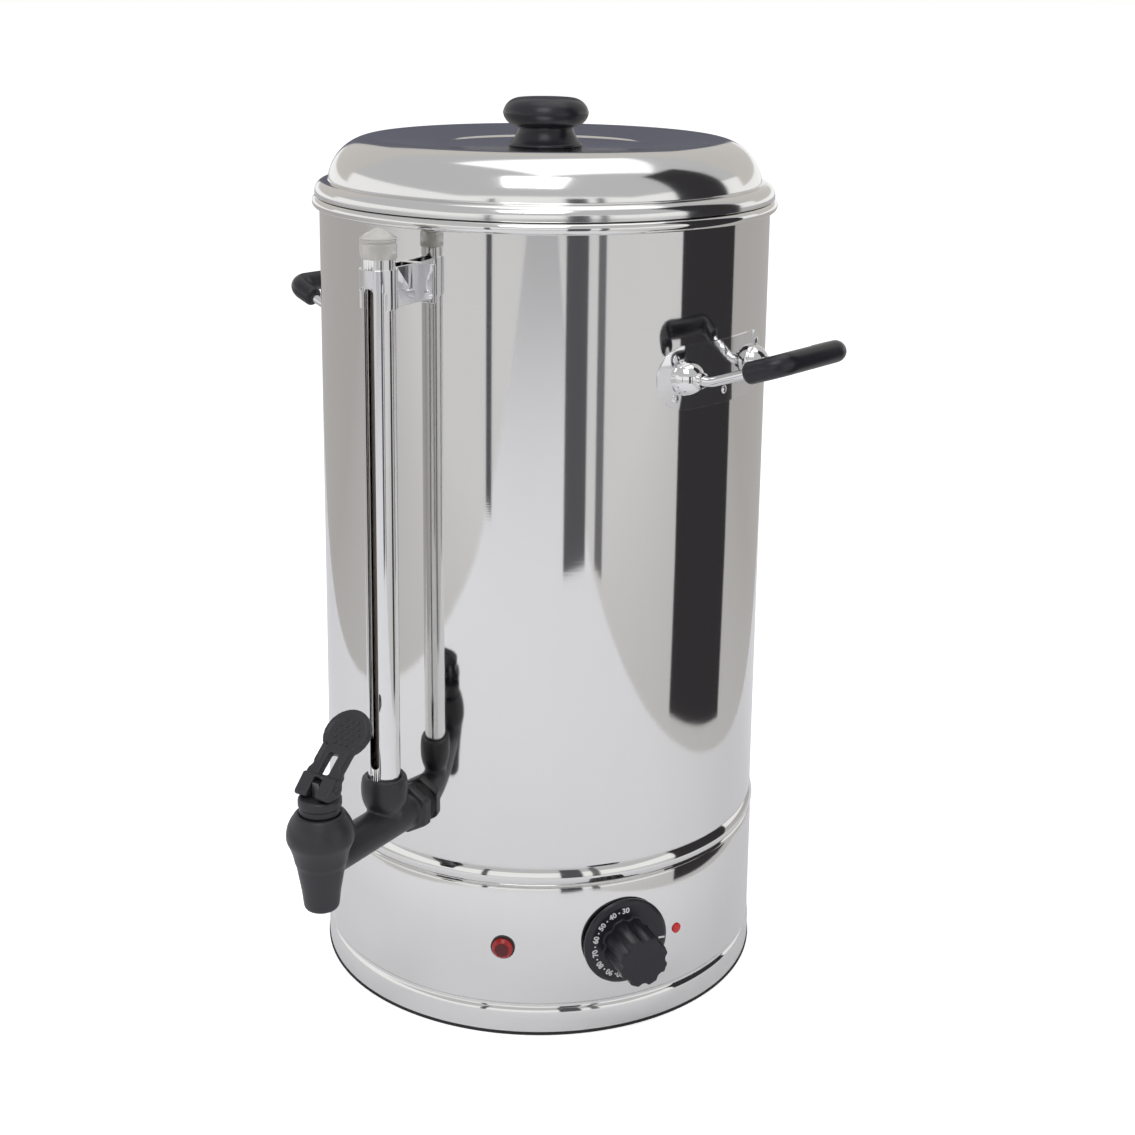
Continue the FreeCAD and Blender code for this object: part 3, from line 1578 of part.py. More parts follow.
def index_dot():
    item = body("index_dot")
    front = S.skirt_radius
    section = outline(item, "section", "YZ_Plane")
    draw(section, [
        (4 - front, 0),
        (4 - front, S.dot_stem),
        (-(front + 0.1), S.dot_stem),
        (-(front + 0.1), S.dot_radius),
        (-(front + S.dot_rise * 0.4), S.dot_radius),
        (-(front + S.dot_rise * 0.8), S.dot_radius * 0.75),
        (-(front + S.dot_rise), S.dot_radius * 0.35),
        (-(front + S.dot_rise), 0),
    ])
    revolve(item, section, "H_Axis")
    place(item, z=S.dot_height, azimuth=S.dot_azimuth)


def sensor():
    """The sensing bulb under the tank bottom, its clip and the capillary to the thermostat."""
    height = S.tank_bottom_height - S.sensor_radius - S.fit_gap
    bulb = part("Cylinder", "bulb_bar", Radius=S.sensor_radius, Height=S.sensor_length)
    half = S.sensor_length / 2
    bulb.Placement = Placement(
        Vector(-half.value, SENSOR_Y.value, height.value),
        Rotation(Vector(0, 1, 0), QUARTER_TURN))
    bulb.setExpression("Placement.Base.x", (-half).text)
    bulb.setExpression("Placement.Base.y", SENSOR_Y.text)
    bulb.setExpression("Placement.Base.z", height.text)
    node(bulb, "sensor_bulb")

    clip = body("sensor_clip")
    arc = outline(clip, "strap", "YZ_Plane")
    radius = S.sensor_radius + S.fit_gap
    outer = radius + S.bracket_wall
    middle = S.sensor_radius + S.fit_gap
    draw(arc, [
        (-outer - 8, 0),
        (-radius, 0),
        (-radius, -middle),
        (0, -middle - radius, radius),
        (radius, -middle, radius),
        (radius, 0),
        (outer + 8, 0),
        (outer + 8, -S.bracket_wall),
        (outer, -S.bracket_wall),
        (outer, -middle),
        (0, -middle - outer, -outer),
        (-outer, -middle, -outer),
        (-outer, -S.bracket_wall),
        (-outer - 8, -S.bracket_wall),
    ])
    pad(clip, arc, 12, middle=True)
    place(clip, y=SENSOR_Y, z=S.tank_bottom_height)


SENSOR_Y = -(S.sensor_distance * cosine(S.dial_azimuth))
EARTH_X = dim(58)
EARTH_Y = dim(84)


def along(azimuth, radius, height):
    """A point at an azimuth, a distance from the axis and a height."""
    turn = math.radians(azimuth)
    return Vector(radius * math.sin(turn), -radius * math.cos(turn), height)


def capillary():
    """The fine tube from the end of the sensing bulb down to the back of the thermostat."""
    azimuth = S.dial_azimuth.value
    high = (S.tank_bottom_height - S.sensor_radius - S.fit_gap).value
    low = S.dial_height.value + S.capillary_rise.value
    back = SKIRT_INSIDE - S.thermostat_step - S.thermostat_depth
    knee = along(azimuth, S.sensor_distance.value, high)
    start = Vector(S.sensor_length.value / 2, knee.y, high)
    drop = along(azimuth, S.sensor_distance.value, low)
    end = along(azimuth, back.value, low)
    bend = S.capillary_bend.value
    path = bent_wire([start, knee, drop, end], [bend, bend])
    solid_node("capillary", tube(path, S.capillary_radius.value))


def heating_element():
    ring = S.element_ring.value
    gap = S.element_gap.value
    height = S.element_height.value
    leg_y = element_leg_y().value
    low = S.tank_bottom_height.value - S.element_drop.value
    spread = math.asin(gap / ring)
    bend = S.element_bend.value
    # The ring starts one bend's length past each leg.
    open_angle = spread + math.asin(bend / ring) * 1.02
    start = Vector(ring * math.sin(open_angle), ring * math.cos(open_angle), height)
    end = Vector(-start.x, start.y, height)
    far = Vector(0, -ring, height)
    arc = Part.Arc(start, far, end).toShape()
    edges = []
    for side, tip in ((1, start), (-1, end)):
        foot = Vector(gap * side, leg_y, low)
        knee = Vector(gap * side, leg_y, height - bend)
        reach = Vector(tip.x, tip.y, height - bend) - knee
        outward = reach.normalize()
        centre = knee + outward * bend
        middle = centre + (Vector(0, 0, 1) - outward).normalize() * bend
        turn = centre + Vector(0, 0, bend)
        edges.append([
            Part.LineSegment(foot, knee).toShape(),
            Part.Arc(knee, middle, turn).toShape(),
            turn,
        ])
    first, second = edges
    # The ring's own arc runs between the two turned ends.
    arc = Part.Arc(first[2], far, second[2]).toShape()
    legs = []
    for leg in (first, second):
        legs.append(tube(Part.Wire(leg[:2]), S.element_tube.value))
    loop = tube(Part.Wire([arc]), S.element_tube.value)
    balls = [Part.makeSphere(S.element_tube.value, leg[2]) for leg in (first, second)]
    shape = loop.multiFuse(legs + balls).removeSplitter()
    solid_node("heating_element", shape)


def element_fixings():
    """Gaskets above and nuts below the tank bottom, one on each leg of the element."""
    gaskets = []
    nuts = []
    y = element_leg_y()
    top = S.tank_bottom_height + S.tank_bottom_wall
    for side in (1, -1):
        x = S.element_gap * side
        for name, radius, low, height, store in (
            ("gasket", S.element_nut, top, S.element_gasket, gaskets),
            ("nut", S.element_nut, S.tank_bottom_height - S.element_nut_height,
             S.element_nut_height, nuts),
        ):
            blank = part("Cylinder" if name == "gasket" else "Prism", f"{name}_blank_{side + 1}",
                         Height=height)
            if name == "nut":
                blank.Polygon = HEX_SIDES
                bind(blank, "Circumradius", radius)
            else:
                bind(blank, "Radius", radius)
            hole = part("Cylinder", f"{name}_hole_{side + 1}", Radius=S.element_tube + S.fit_gap,
                        Height=height + 2)
            place(blank, x, y, low)
            place(hole, x, y, low - 1)
            store.append(minus(f"element_{name}_{side + 1}", blank, hole))
    group("element_gaskets", gaskets)
    group("element_nuts", nuts)


def boil_dry_cutout():
    """The boil-dry disc under the tank, and the plunger that resets it from below."""
    item = body("boil_dry_cutout")
    low = S.tank_bottom_height - S.cutout_height
    section = outline(item, "section")
    draw(section, [
        (0, low),
        (S.cutout_radius * 0.7, low),
        (S.cutout_radius, low + S.cutout_height * 0.4),
        (S.cutout_radius, S.tank_bottom_height - 1.5),
        (S.cutout_radius + 4, S.tank_bottom_height - 1.5),
        (S.cutout_radius + 4, S.tank_bottom_height),
        (0, S.tank_bottom_height),
    ])
    revolve(item, section)

    plunger = body("reset_plunger")
    plate_top = S.plate_height + S.plate_wall
    collar = plate_top + S.lid_gap
    top = low - S.plunger_travel - S.lid_gap
    section = outline(plunger, "section")
    draw(section, [
        (0, S.plunger_low),
        (S.plunger_radius, S.plunger_low),
        (S.plunger_radius, collar),
        (S.plunger_collar, collar),
        (S.plunger_collar, collar + 2),
        (S.plunger_radius, collar + 2),
        (S.plunger_radius, top),
        (0, top),
    ])
    revolve(plunger, section)


def terminal_block():
    item = body("terminal_block")
    low = S.plate_height + S.plate_wall
    half = S.block_length / 2
    y = S.block_distance
    base = outline(item, "base", "XY_Plane", shift=(0, 0, low))
    box(base, -half, y - S.block_width / 2, half, y + S.block_width / 2)
    pad(item, base, S.block_height)
    steps = outline(item, "steps", "YZ_Plane")
    top = low + S.block_height
    for side in (1, -1):
        middle = y + S.block_width / 2 * side
        box(steps, middle - 4, top - 5, middle + 4, top + 1)
    cut(item, steps, S.block_length + 2, middle=True)


def earth_stud():
    """The stud through the base plate, with a nut each side of it."""
    items = []
    low = S.plate_height
    bar = part("Cylinder", "earth_bar", Radius=S.earth_radius, Height=18)
    place(bar, EARTH_X, EARTH_Y, low - 3.4)
    items.append(bar)
    for name, height in (("top", low + S.plate_wall), ("low", low - 3)):
        nut = part("Prism", f"earth_nut_{name}", Circumradius=S.earth_radius * 2, Height=3)
        nut.Polygon = HEX_SIDES
        hole = part("Cylinder", f"earth_hole_{name}", Radius=S.earth_radius + S.fit_gap, Height=5)
        place(nut, EARTH_X, EARTH_Y, height)
        place(hole, EARTH_X, EARTH_Y, height - 1)
        items.append(minus(f"earth_ring_{name}", nut, hole))
    group("earth_stud", items)


def cable_gland():
    """The gland where a mains lead would come in, low on the back of the skirt."""
    out = S.skirt_radius
    height = S.gland_height
    item = body("cable_gland")
    thread = outline(item, "thread", shift=(0, 0, SKIRT_INSIDE - S.gland_inside))
    circle(thread, 0, 0, S.gland_thread)
    pad(item, thread, out - SKIRT_INSIDE + S.gland_inside + 1)
    seal_wall = 1.0
    start = out + seal_wall
    mid = start + S.gland_nut_length
    end = mid + S.gland_dome
    across = S.gland_across / 2
    flats = outline(item, "flats", shift=(0, 0, start))
    hexagon(flats, S.gland_across)
    pad(item, flats, S.gland_nut_length)
    dome = outline(item, "dome", "YZ_Plane")
    draw(dome, [
        (-mid, 0),
        (-mid, across - 0.8),
        (-(end - 3), across - 1.2),
        (-end, across - 3.5),
        (-end, 0),
    ])
    revolve(item, dome, "H_Axis")
    bore = outline(item, "bore", shift=(0, 0, SKIRT_INSIDE - S.gland_inside - 1))
    circle(bore, 0, 0, S.gland_bore)
    cut(item, bore, end - SKIRT_INSIDE + S.gland_inside + 2, back=True)
    place(item, z=height, azimuth=HALF_TURN)

    seal = body("gland_seal")
    ring = outline(seal, "ring")
    circle(ring, 0, 0, across - 0.5)
    circle(ring, 0, 0, S.gland_thread + S.fit_gap)
    pad(seal, ring, out + seal_wall)
    ring_cut(seal, "seat", None, out, S.gland_across * 2)
    place(seal, z=height, azimuth=HALF_TURN)

    nut = part("Prism", "gland_nut_blank", Circumradius=across / cosine(dim(30)), Height=4)
    nut.Polygon = HEX_SIDES
    hole = part("Cylinder", "gland_nut_hole", Radius=S.gland_thread + S.fit_gap, Height=6)
    # The nut's face stands off the curved wall at its middle.
    seat = SKIRT_INSIDE - 4 - 0.4
    lie_outwards(nut, dim(HALF_TURN), seat, height)
    lie_outwards(hole, dim(HALF_TURN), seat - 1, height)
    node(minus("gland_locknut", nut, hole), "gland_locknut")


tank_shell()
tank_bottom()
base_skirt()
foot_ring()
base_plate()
base_brackets()
base_screws()
lid_shell()
lid_skirt()
lid_knob()
lid_fixing()
handle("right", S.handle_azimuth)
handle("left", S.handle_azimuth + HALF_TURN)
tap_body()
tap_seals()
tap_locknut()
tap_bonnet()
tap_stem()
tap_small_parts()
tap_lever()
level_gauge()
gauge_clip()
clip_screws()
thermostat_knob()
thermostat()
pilot_lamp()
index_dot()
sensor()
capillary()
heating_element()
element_fixings()
boil_dry_cutout()
terminal_block()
earth_stud()
cable_gland()

doc.recompute()
for item in doc.Objects:
    if "Invalid" in item.State or "Error" in item.State:
        raise RuntimeError(f"{item.Name} failed: {item.State}")
for item in nodes:
    if item.Shape.isNull() or not item.Shape.isValid():
        raise RuntimeError(f"{item.Label} has no valid shape")
os.makedirs("parts", exist_ok=True)
for item in nodes:
    item.Shape.exportStep(f"parts/{item.Label}.step")
print(len(nodes), "nodes")
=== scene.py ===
"""Looks of the hot water urn: meshes, finishes, stage, light and camera."""

import logging
import math
from dataclasses import dataclass, field
from enum import Enum
from typing import Callable, Sequence

import bpy
from mathutils import Matrix, Vector


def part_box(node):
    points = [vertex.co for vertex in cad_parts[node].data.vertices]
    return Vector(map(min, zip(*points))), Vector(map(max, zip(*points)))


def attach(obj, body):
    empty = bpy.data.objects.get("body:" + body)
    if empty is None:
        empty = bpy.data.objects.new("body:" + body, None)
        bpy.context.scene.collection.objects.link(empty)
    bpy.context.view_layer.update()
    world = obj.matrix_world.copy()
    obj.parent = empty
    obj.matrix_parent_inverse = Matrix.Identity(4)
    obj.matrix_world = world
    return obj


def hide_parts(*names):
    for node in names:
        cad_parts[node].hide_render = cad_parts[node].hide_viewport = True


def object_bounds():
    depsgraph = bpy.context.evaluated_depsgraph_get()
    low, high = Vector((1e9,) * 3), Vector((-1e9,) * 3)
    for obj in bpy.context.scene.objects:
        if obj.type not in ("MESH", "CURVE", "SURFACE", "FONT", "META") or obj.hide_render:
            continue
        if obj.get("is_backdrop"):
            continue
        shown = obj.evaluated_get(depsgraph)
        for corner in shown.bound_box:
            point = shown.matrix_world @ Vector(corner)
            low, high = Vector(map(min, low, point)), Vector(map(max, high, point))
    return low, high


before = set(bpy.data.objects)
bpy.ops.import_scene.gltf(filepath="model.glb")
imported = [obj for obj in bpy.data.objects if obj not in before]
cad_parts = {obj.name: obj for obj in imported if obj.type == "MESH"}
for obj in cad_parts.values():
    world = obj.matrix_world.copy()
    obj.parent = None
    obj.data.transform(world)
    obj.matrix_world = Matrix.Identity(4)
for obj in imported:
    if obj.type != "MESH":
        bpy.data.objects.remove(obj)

LOG = logging.getLogger("urn")
MM = 0.001
Pair = tuple[float, float]
Triple = tuple[float, float, float]
Colour = tuple[float, float, float]

TANK = 140.0
SKIRT = 141.0
RIM = 497.0
TAP_REACH = 229.0
GAUGE = 170.0
VIEW_AZIMUTH = 32.5
LAMP_AZIMUTH = 23.7
LAMP_HEIGHT = 58.0
PRINT_RADIUS = 20.9
TICK_RADIUS = 23.2
TICK_ANGLE = -3.0


def deselect() -> None:
    """Leaves edit mode and clears the selection."""
    if bpy.context.object is not None and bpy.context.object.mode != "OBJECT":
        bpy.ops.object.mode_set(mode="OBJECT")
    bpy.ops.object.select_all(action="DESELECT")


def pick(piece: bpy.types.Object) -> bpy.types.Object:
    """Makes one piece the only selected one, and the active one."""
    deselect()
    piece.select_set(True)
    bpy.context.view_layer.objects.active = piece
    return piece


def edit(piece: bpy.types.Object) -> None:
    """Opens a piece in edit mode with everything selected."""
    pick(piece)
    bpy.ops.object.mode_set(mode="EDIT")
    bpy.ops.mesh.select_all(action="SELECT")


def close_edit(sharp: float = 32.0, merge: float = 0.002) -> None:
    """Merges doubles, turns the faces outwards, leaves edit mode and smooths.

    Args:
        sharp: angle in degrees above which an edge stays sharp.
        merge: distance in mm below which points are one point.
    """
    bpy.ops.mesh.select_all(action="SELECT")
    bpy.ops.mesh.remove_doubles(threshold=merge * MM)
    bpy.ops.mesh.normals_make_consistent(inside=False)
    bpy.ops.object.mode_set(mode="OBJECT")
    bpy.ops.object.shade_smooth_by_angle(angle=math.radians(sharp))


def settle(piece: bpy.types.Object) -> bpy.types.Object:
    """Puts the place of a piece into its mesh, with its object at the origin."""
    pick(piece)
    bpy.ops.object.transform_apply(location=True, rotation=True, scale=True)
    return piece


def arc(centre: Pair, radius: float, start: float, end: float, count: int) -> list[Pair]:
    """Points along an arc of a profile.

    Args:
        centre: centre of the arc, in mm.
        radius: its radius, in mm.
        start: first angle in degrees.
        end: last angle in degrees.
        count: number of points.

    Returns:
        The points, both ends included.
    """
    turns = [math.radians(start + (end - start) * step / (count - 1)) for step in range(count)]
    return [(centre[0] + radius * math.cos(a), centre[1] + radius * math.sin(a)) for a in turns]


def bow(start: Pair, end: Pair, radius: float, count: int = 10) -> list[Pair]:
    """Points along the short arc from one point to another.

    Args:
        start: first point, left out of the result.
        end: last point.
        radius: positive when the centre lies on the left of the way.
        count: number of points returned.

    Returns:
        The points after the first.
    """
    chord = Vector((end[0] - start[0], end[1] - start[1]))
    half = chord.length / 2
    left = Vector((-chord.y, chord.x)).normalized()
    reach = math.sqrt(max(radius * radius - half * half, 0.0)) * math.copysign(1, radius)
    middle = Vector(start) + chord / 2 + left * reach
    first = math.atan2(start[1] - middle.y, start[0] - middle.x)
    last = math.atan2(end[1] - middle.y, end[0] - middle.x)
    sweep = (last - first + math.pi) % (2 * math.pi) - math.pi
    size = abs(radius)
    turns = [first + sweep * (step + 1) / count for step in range(count)]
    return [(middle.x + size * math.cos(a), middle.y + size * math.sin(a)) for a in turns]


def lathe(name: str, profile: Sequence[Pair], steps: int = 192, sharp: float = 32.0,
          centre: Pair = (0.0, 0.0)) -> bpy.types.Object:
    """Turns a profile round the vertical.

    Args:
        name: name of the piece.
        profile: (radius, height) points in mm; a wall repeats its first point at the end.
        steps: number of divisions of the full turn.
        sharp: angle in degrees above which an edge stays sharp.
        centre: where the axis stands, in mm.

    Returns:
        The finished piece.
    """
    deselect()
    first = profile[0]
    at = ((centre[0] + first[0]) * MM, centre[1] * MM, first[1] * MM)
    bpy.ops.mesh.primitive_plane_add(size=MM, location=at)
    piece = bpy.context.object
    piece.name = name
    bpy.ops.object.transform_apply(location=True, rotation=True, scale=True)
    bpy.ops.object.mode_set(mode="EDIT")
    bpy.ops.mesh.select_all(action="SELECT")
    bpy.ops.mesh.merge(type="CENTER")
    for before, after in zip(profile, profile[1:]):
        move = ((after[0] - before[0]) * MM, 0.0, (after[1] - before[1]) * MM)
        bpy.ops.mesh.extrude_region_move(TRANSFORM_OT_translate={"value": move})
    bpy.ops.mesh.select_all(action="SELECT")
    axis_at = (centre[0] * MM, centre[1] * MM, 0.0)
    bpy.ops.mesh.spin(steps=steps, angle=2 * math.pi, center=axis_at, axis=(0, 0, 1))
    close_edit(sharp)
    return piece


def stand_out(piece: bpy.types.Object, azimuth: float, height: float) -> bpy.types.Object:
    """Lays a piece's own +Z outwards at an azimuth, its origin on the urn's axis.

    Args:
        piece: the piece, made about the vertical.
        azimuth: degrees from the tap, counted towards +X.
        height: height of the piece's axis, in mm.

    Returns:
        The same piece.
    """
    turn = Matrix.Rotation(math.radians(azimuth), 4, "Z") @ Matrix.Rotation(math.pi / 2, 4, "X")
    piece.matrix_world = Matrix.Translation((0, 0, height * MM)) @ turn
    return settle(piece)


def swing(piece: bpy.types.Object, azimuth: float, height: float) -> bpy.types.Object:
    """Turns a piece made on the -Y side to an azimuth, and lifts it to a height in mm."""
    turn = Matrix.Rotation(math.radians(azimuth), 4, "Z")
    piece.matrix_world = Matrix.Translation((0, 0, height * MM)) @ turn
    return settle(piece)


def pipe(name: str, path: Sequence[Triple], bends: Sequence[float], radius: float,
         sides: int = 28) -> bpy.types.Object:
    """A round bar pulled through its corners by extruding and spinning its end.

    Args:
        name: name of the piece.
        path: the corners, in mm.
        bends: radius of the bend at each inner corner, in mm.
        radius: radius of the bar, in mm.
        sides: number of sides.

    Returns:
        The finished piece, closed at both ends.
    """
    points = [Vector(point) * MM for point in path]
    first = (points[1] - points[0]).normalized()
    deselect()
    bpy.ops.mesh.primitive_circle_add(vertices=sides, radius=radius * MM, fill_type="NGON",
                                      location=points[0],
                                      rotation=first.to_track_quat("Z", "Y").to_euler())
    piece = bpy.context.object
    piece.name = name
    bpy.ops.object.transform_apply(location=True, rotation=True, scale=True)
    bpy.ops.object.mode_set(mode="EDIT")
    bpy.ops.mesh.select_all(action="SELECT")
    here = points[0]
    for index in range(1, len(points) - 1):
        back = (points[index - 1] - points[index]).normalized()
        ahead = (points[index + 1] - points[index]).normalized()
        half = back.angle(ahead) / 2
        bend = bends[index - 1] * MM
        enter = points[index] + back * (bend / math.tan(half))
        centre = points[index] + (back + ahead).normalized() * (bend / math.sin(half))
        bpy.ops.mesh.extrude_region_move(TRANSFORM_OT_translate={"value": enter - here})
        axis = (centre - enter).cross(back).normalized()
        turn = math.pi - 2 * half
        bpy.ops.mesh.spin(steps=14, angle=-turn, center=centre, axis=axis)
        here = points[index] + ahead * (bend / math.tan(half))
    bpy.ops.mesh.extrude_region_move(TRANSFORM_OT_translate={"value": points[-1] - here})
    close_edit(40.0)
    return piece


def soften(piece: bpy.types.Object, width: float, segments: int = 2,
           angle: float = 35.0) -> bpy.types.Object:
    """Rounds the edges that are sharper than an angle.

    Args:
        piece: the piece.
        width: width of the rounding, in mm.
        segments: number of facets across it.
        angle: the angle in degrees.

    Returns:
        The same piece.
    """
    pick(piece)
    modifier = piece.modifiers.new("soften", "BEVEL")
    modifier.width = width * MM
    modifier.segments = segments
    modifier.limit_method = "ANGLE"
    modifier.angle_limit = math.radians(angle)
    bpy.ops.object.modifier_apply(modifier=modifier.name)
    bpy.ops.object.shade_smooth_by_angle(angle=math.radians(angle))
    return piece


def from_frame(name: str, node: str, sharp: float = 32.0) -> bpy.types.Object:
    """A merged copy of a solid of the frame, ready to be worked on.

    Args:
        name: name of the piece.
        node: the solid's name.
        sharp: angle in degrees above which an edge stays sharp.

    Returns:
        The copy, which doesn't ride on anything yet.
    """
    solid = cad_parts[node]
    piece = bpy.data.objects.new(name, solid.data.copy())
    bpy.context.scene.collection.objects.link(piece)
    piece.data.materials.clear()
    edit(piece)
    close_edit(sharp, 0.001)
    return piece


def mould(name: str, node: str, voxel: float, rounds: int,
          sharp: float = 60.0) -> bpy.types.Object:
    """A copy of a solid with the soft edges and blended corners of a moulding.

    Args:
        name: name of the piece.
        node: the solid's name.
        voxel: size of the new mesh's cells, in mm.
        rounds: how many times the skin is relaxed.
        sharp: angle in degrees above which an edge stays sharp.

    Returns:
        The new piece.
    """
    piece = from_frame(name, node)
    pick(piece)
    skin = piece.modifiers.new("skin", "REMESH")
    skin.mode = "VOXEL"
    skin.voxel_size = voxel * MM
    bpy.ops.object.modifier_apply(modifier=skin.name)
    relax = piece.modifiers.new("relax", "SMOOTH")
    relax.factor = 0.5
    relax.iterations = rounds
    bpy.ops.object.modifier_apply(modifier=relax.name)
    bpy.ops.object.shade_smooth_by_angle(angle=math.radians(sharp))
    return piece


def wear(piece: bpy.types.Object, finish: "Finish", body: str, *nodes: str) -> None:
    """Gives a finished piece its material, its body and the solids it stands for."""
    piece.data.materials.clear()
    piece.data.materials.append(finish.material())
    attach(piece, body)
    if nodes:
        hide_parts(*nodes)
    LOG.info("%s: %d faces", piece.name, len(piece.data.polygons))


class Grain(Enum):
    """How the skin of a finish varies."""

    SHEET = "sheet"
    TURNED = "turned"
    MOULDED = "moulded"
    CLEAR = "clear"


@dataclass
class Sockets:
    """Names of a node group's inputs, with defaults, and of its outputs."""

    inputs: dict[str, float] = field(default_factory=dict)
    outputs: tuple[str, ...] = ("Value", "Height")


def node_group(name: str, sockets: Sockets,
               fill: Callable[[bpy.types.NodeTree, bpy.types.Node, bpy.types.Node], None]
               ) -> bpy.types.NodeTree:
    """Makes a shader node group once, and returns the same one later.

    Args:
        name: name of the group.
        sockets: its inputs and outputs, besides the Vector input.
        fill: a function that adds and links the nodes.

    Returns:
        The group.
    """
    if name in bpy.data.node_groups:
        return bpy.data.node_groups[name]
    tree = bpy.data.node_groups.new(name, "ShaderNodeTree")
    tree.interface.new_socket("Vector", in_out="INPUT", socket_type="NodeSocketVector")
    for key, number in sockets.inputs.items():
        item = tree.interface.new_socket(key, in_out="INPUT", socket_type="NodeSocketFloat")
        item.default_value = number
    for key in sockets.outputs:
        tree.interface.new_socket(key, in_out="OUTPUT", socket_type="NodeSocketFloat")
    fill(tree, tree.nodes.new("NodeGroupInput"), tree.nodes.new("NodeGroupOutput"))
    return tree


def maths(tree: bpy.types.NodeTree, kind: str, first: object,
          second: object) -> bpy.types.NodeSocket:
    """A Math node of two values, each a number or a socket."""
    item = tree.nodes.new("ShaderNodeMath")
    item.operation = kind
    for socket, value in zip(item.inputs, (first, second)):
        if isinstance(value, (int, float)):
            socket.default_value = value
        else:
            tree.links.new(value, socket)
    return item.outputs[0]


def noise(tree: bpy.types.NodeTree, vector: bpy.types.NodeSocket, stretch: Triple,
          detail: float, rough: float = 0.5) -> bpy.types.NodeSocket:
    """Noise on stretched coordinates.

    Args:
        tree: the node tree.
        vector: the coordinates, in metres.
        stretch: how many cells a metre holds along each axis.
        detail: octaves of the noise.
        rough: weight of the finer octaves.

    Returns:
        The noise's value.
    """
    scale = tree.nodes.new("ShaderNodeVectorMath")
    scale.operation = "MULTIPLY"
    scale.inputs[1].default_value = stretch
    tree.links.new(vector, scale.inputs[0])
    item = tree.nodes.new("ShaderNodeTexNoise")
    item.inputs["Scale"].default_value = 1.0
    item.inputs["Detail"].default_value = detail
    item.inputs["Roughness"].default_value = rough
    tree.links.new(scale.outputs[0], item.inputs["Vector"])
    return item.outputs["Fac"]


def fill_sheet(tree: bpy.types.NodeTree, start: bpy.types.Node, end: bpy.types.Node) -> None:
    """Rolled sheet: fine lines round the tank, cloudy polish and faint wipe marks."""
    vector = start.outputs["Vector"]
    lines = noise(tree, vector, (9.0, 9.0, 1500.0), 3.0, 0.6)
    broad = noise(tree, vector, (4.0, 4.0, 160.0), 2.0)
    cloud = noise(tree, vector, (14.0, 14.0, 9.0), 4.0, 0.55)
    wipes = noise(tree, vector, (60.0, 60.0, 12.0), 2.0, 0.7)
    mixed = maths(tree, "MULTIPLY", lines, start.outputs["Lines"])
    marks = maths(tree, "MULTIPLY", maths(tree, "MULTIPLY", cloud, wipes), start.outputs["Haze"])
    value = maths(tree, "ADD", mixed, marks)
    height = maths(tree, "ADD", lines, maths(tree, "MULTIPLY", broad, 0.7))
    tree.links.new(value, end.inputs["Value"])
    tree.links.new(height, end.inputs["Height"])


def fill_moulded(tree: bpy.types.NodeTree, start: bpy.types.Node, end: bpy.types.Node) -> None:
    """Moulded plastic: a fine skin, with patches that handling has polished."""
    vector = start.outputs["Vector"]
    skin = noise(tree, vector, (1400.0, 1400.0, 1400.0), 2.0, 0.6)
    peel = noise(tree, vector, (260.0, 260.0, 260.0), 1.0)
    patch = noise(tree, vector, (28.0, 28.0, 28.0), 3.0)
    value = maths(tree, "MULTIPLY", patch, start.outputs["Haze"])
    height = maths(tree, "ADD", maths(tree, "MULTIPLY", skin, start.outputs["Lines"]), peel)
    tree.links.new(value, end.inputs["Value"])
    tree.links.new(height, end.inputs["Height"])


def fill_turned(tree: bpy.types.NodeTree, start: bpy.types.Node, end: bpy.types.Node) -> None:
    """Small metal parts: short random scratches and a slightly dull skin."""
    vector = start.outputs["Vector"]
    scratch = noise(tree, vector, (120.0, 900.0, 900.0), 3.0, 0.65)
    cloud = noise(tree, vector, (60.0, 60.0, 60.0), 3.0)
    value = maths(tree, "ADD", maths(tree, "MULTIPLY", scratch, start.outputs["Lines"]),
                  maths(tree, "MULTIPLY", cloud, start.outputs["Haze"]))
    tree.links.new(value, end.inputs["Value"])
    tree.links.new(scratch, end.inputs["Height"])


FILLS: dict[Grain, tuple[str, Callable[..., None]]] = {
    Grain.SHEET: ("RolledSheet", fill_sheet),
    Grain.TURNED: ("TurnedMetal", fill_turned),
    Grain.MOULDED: ("MouldedSkin", fill_moulded),
}


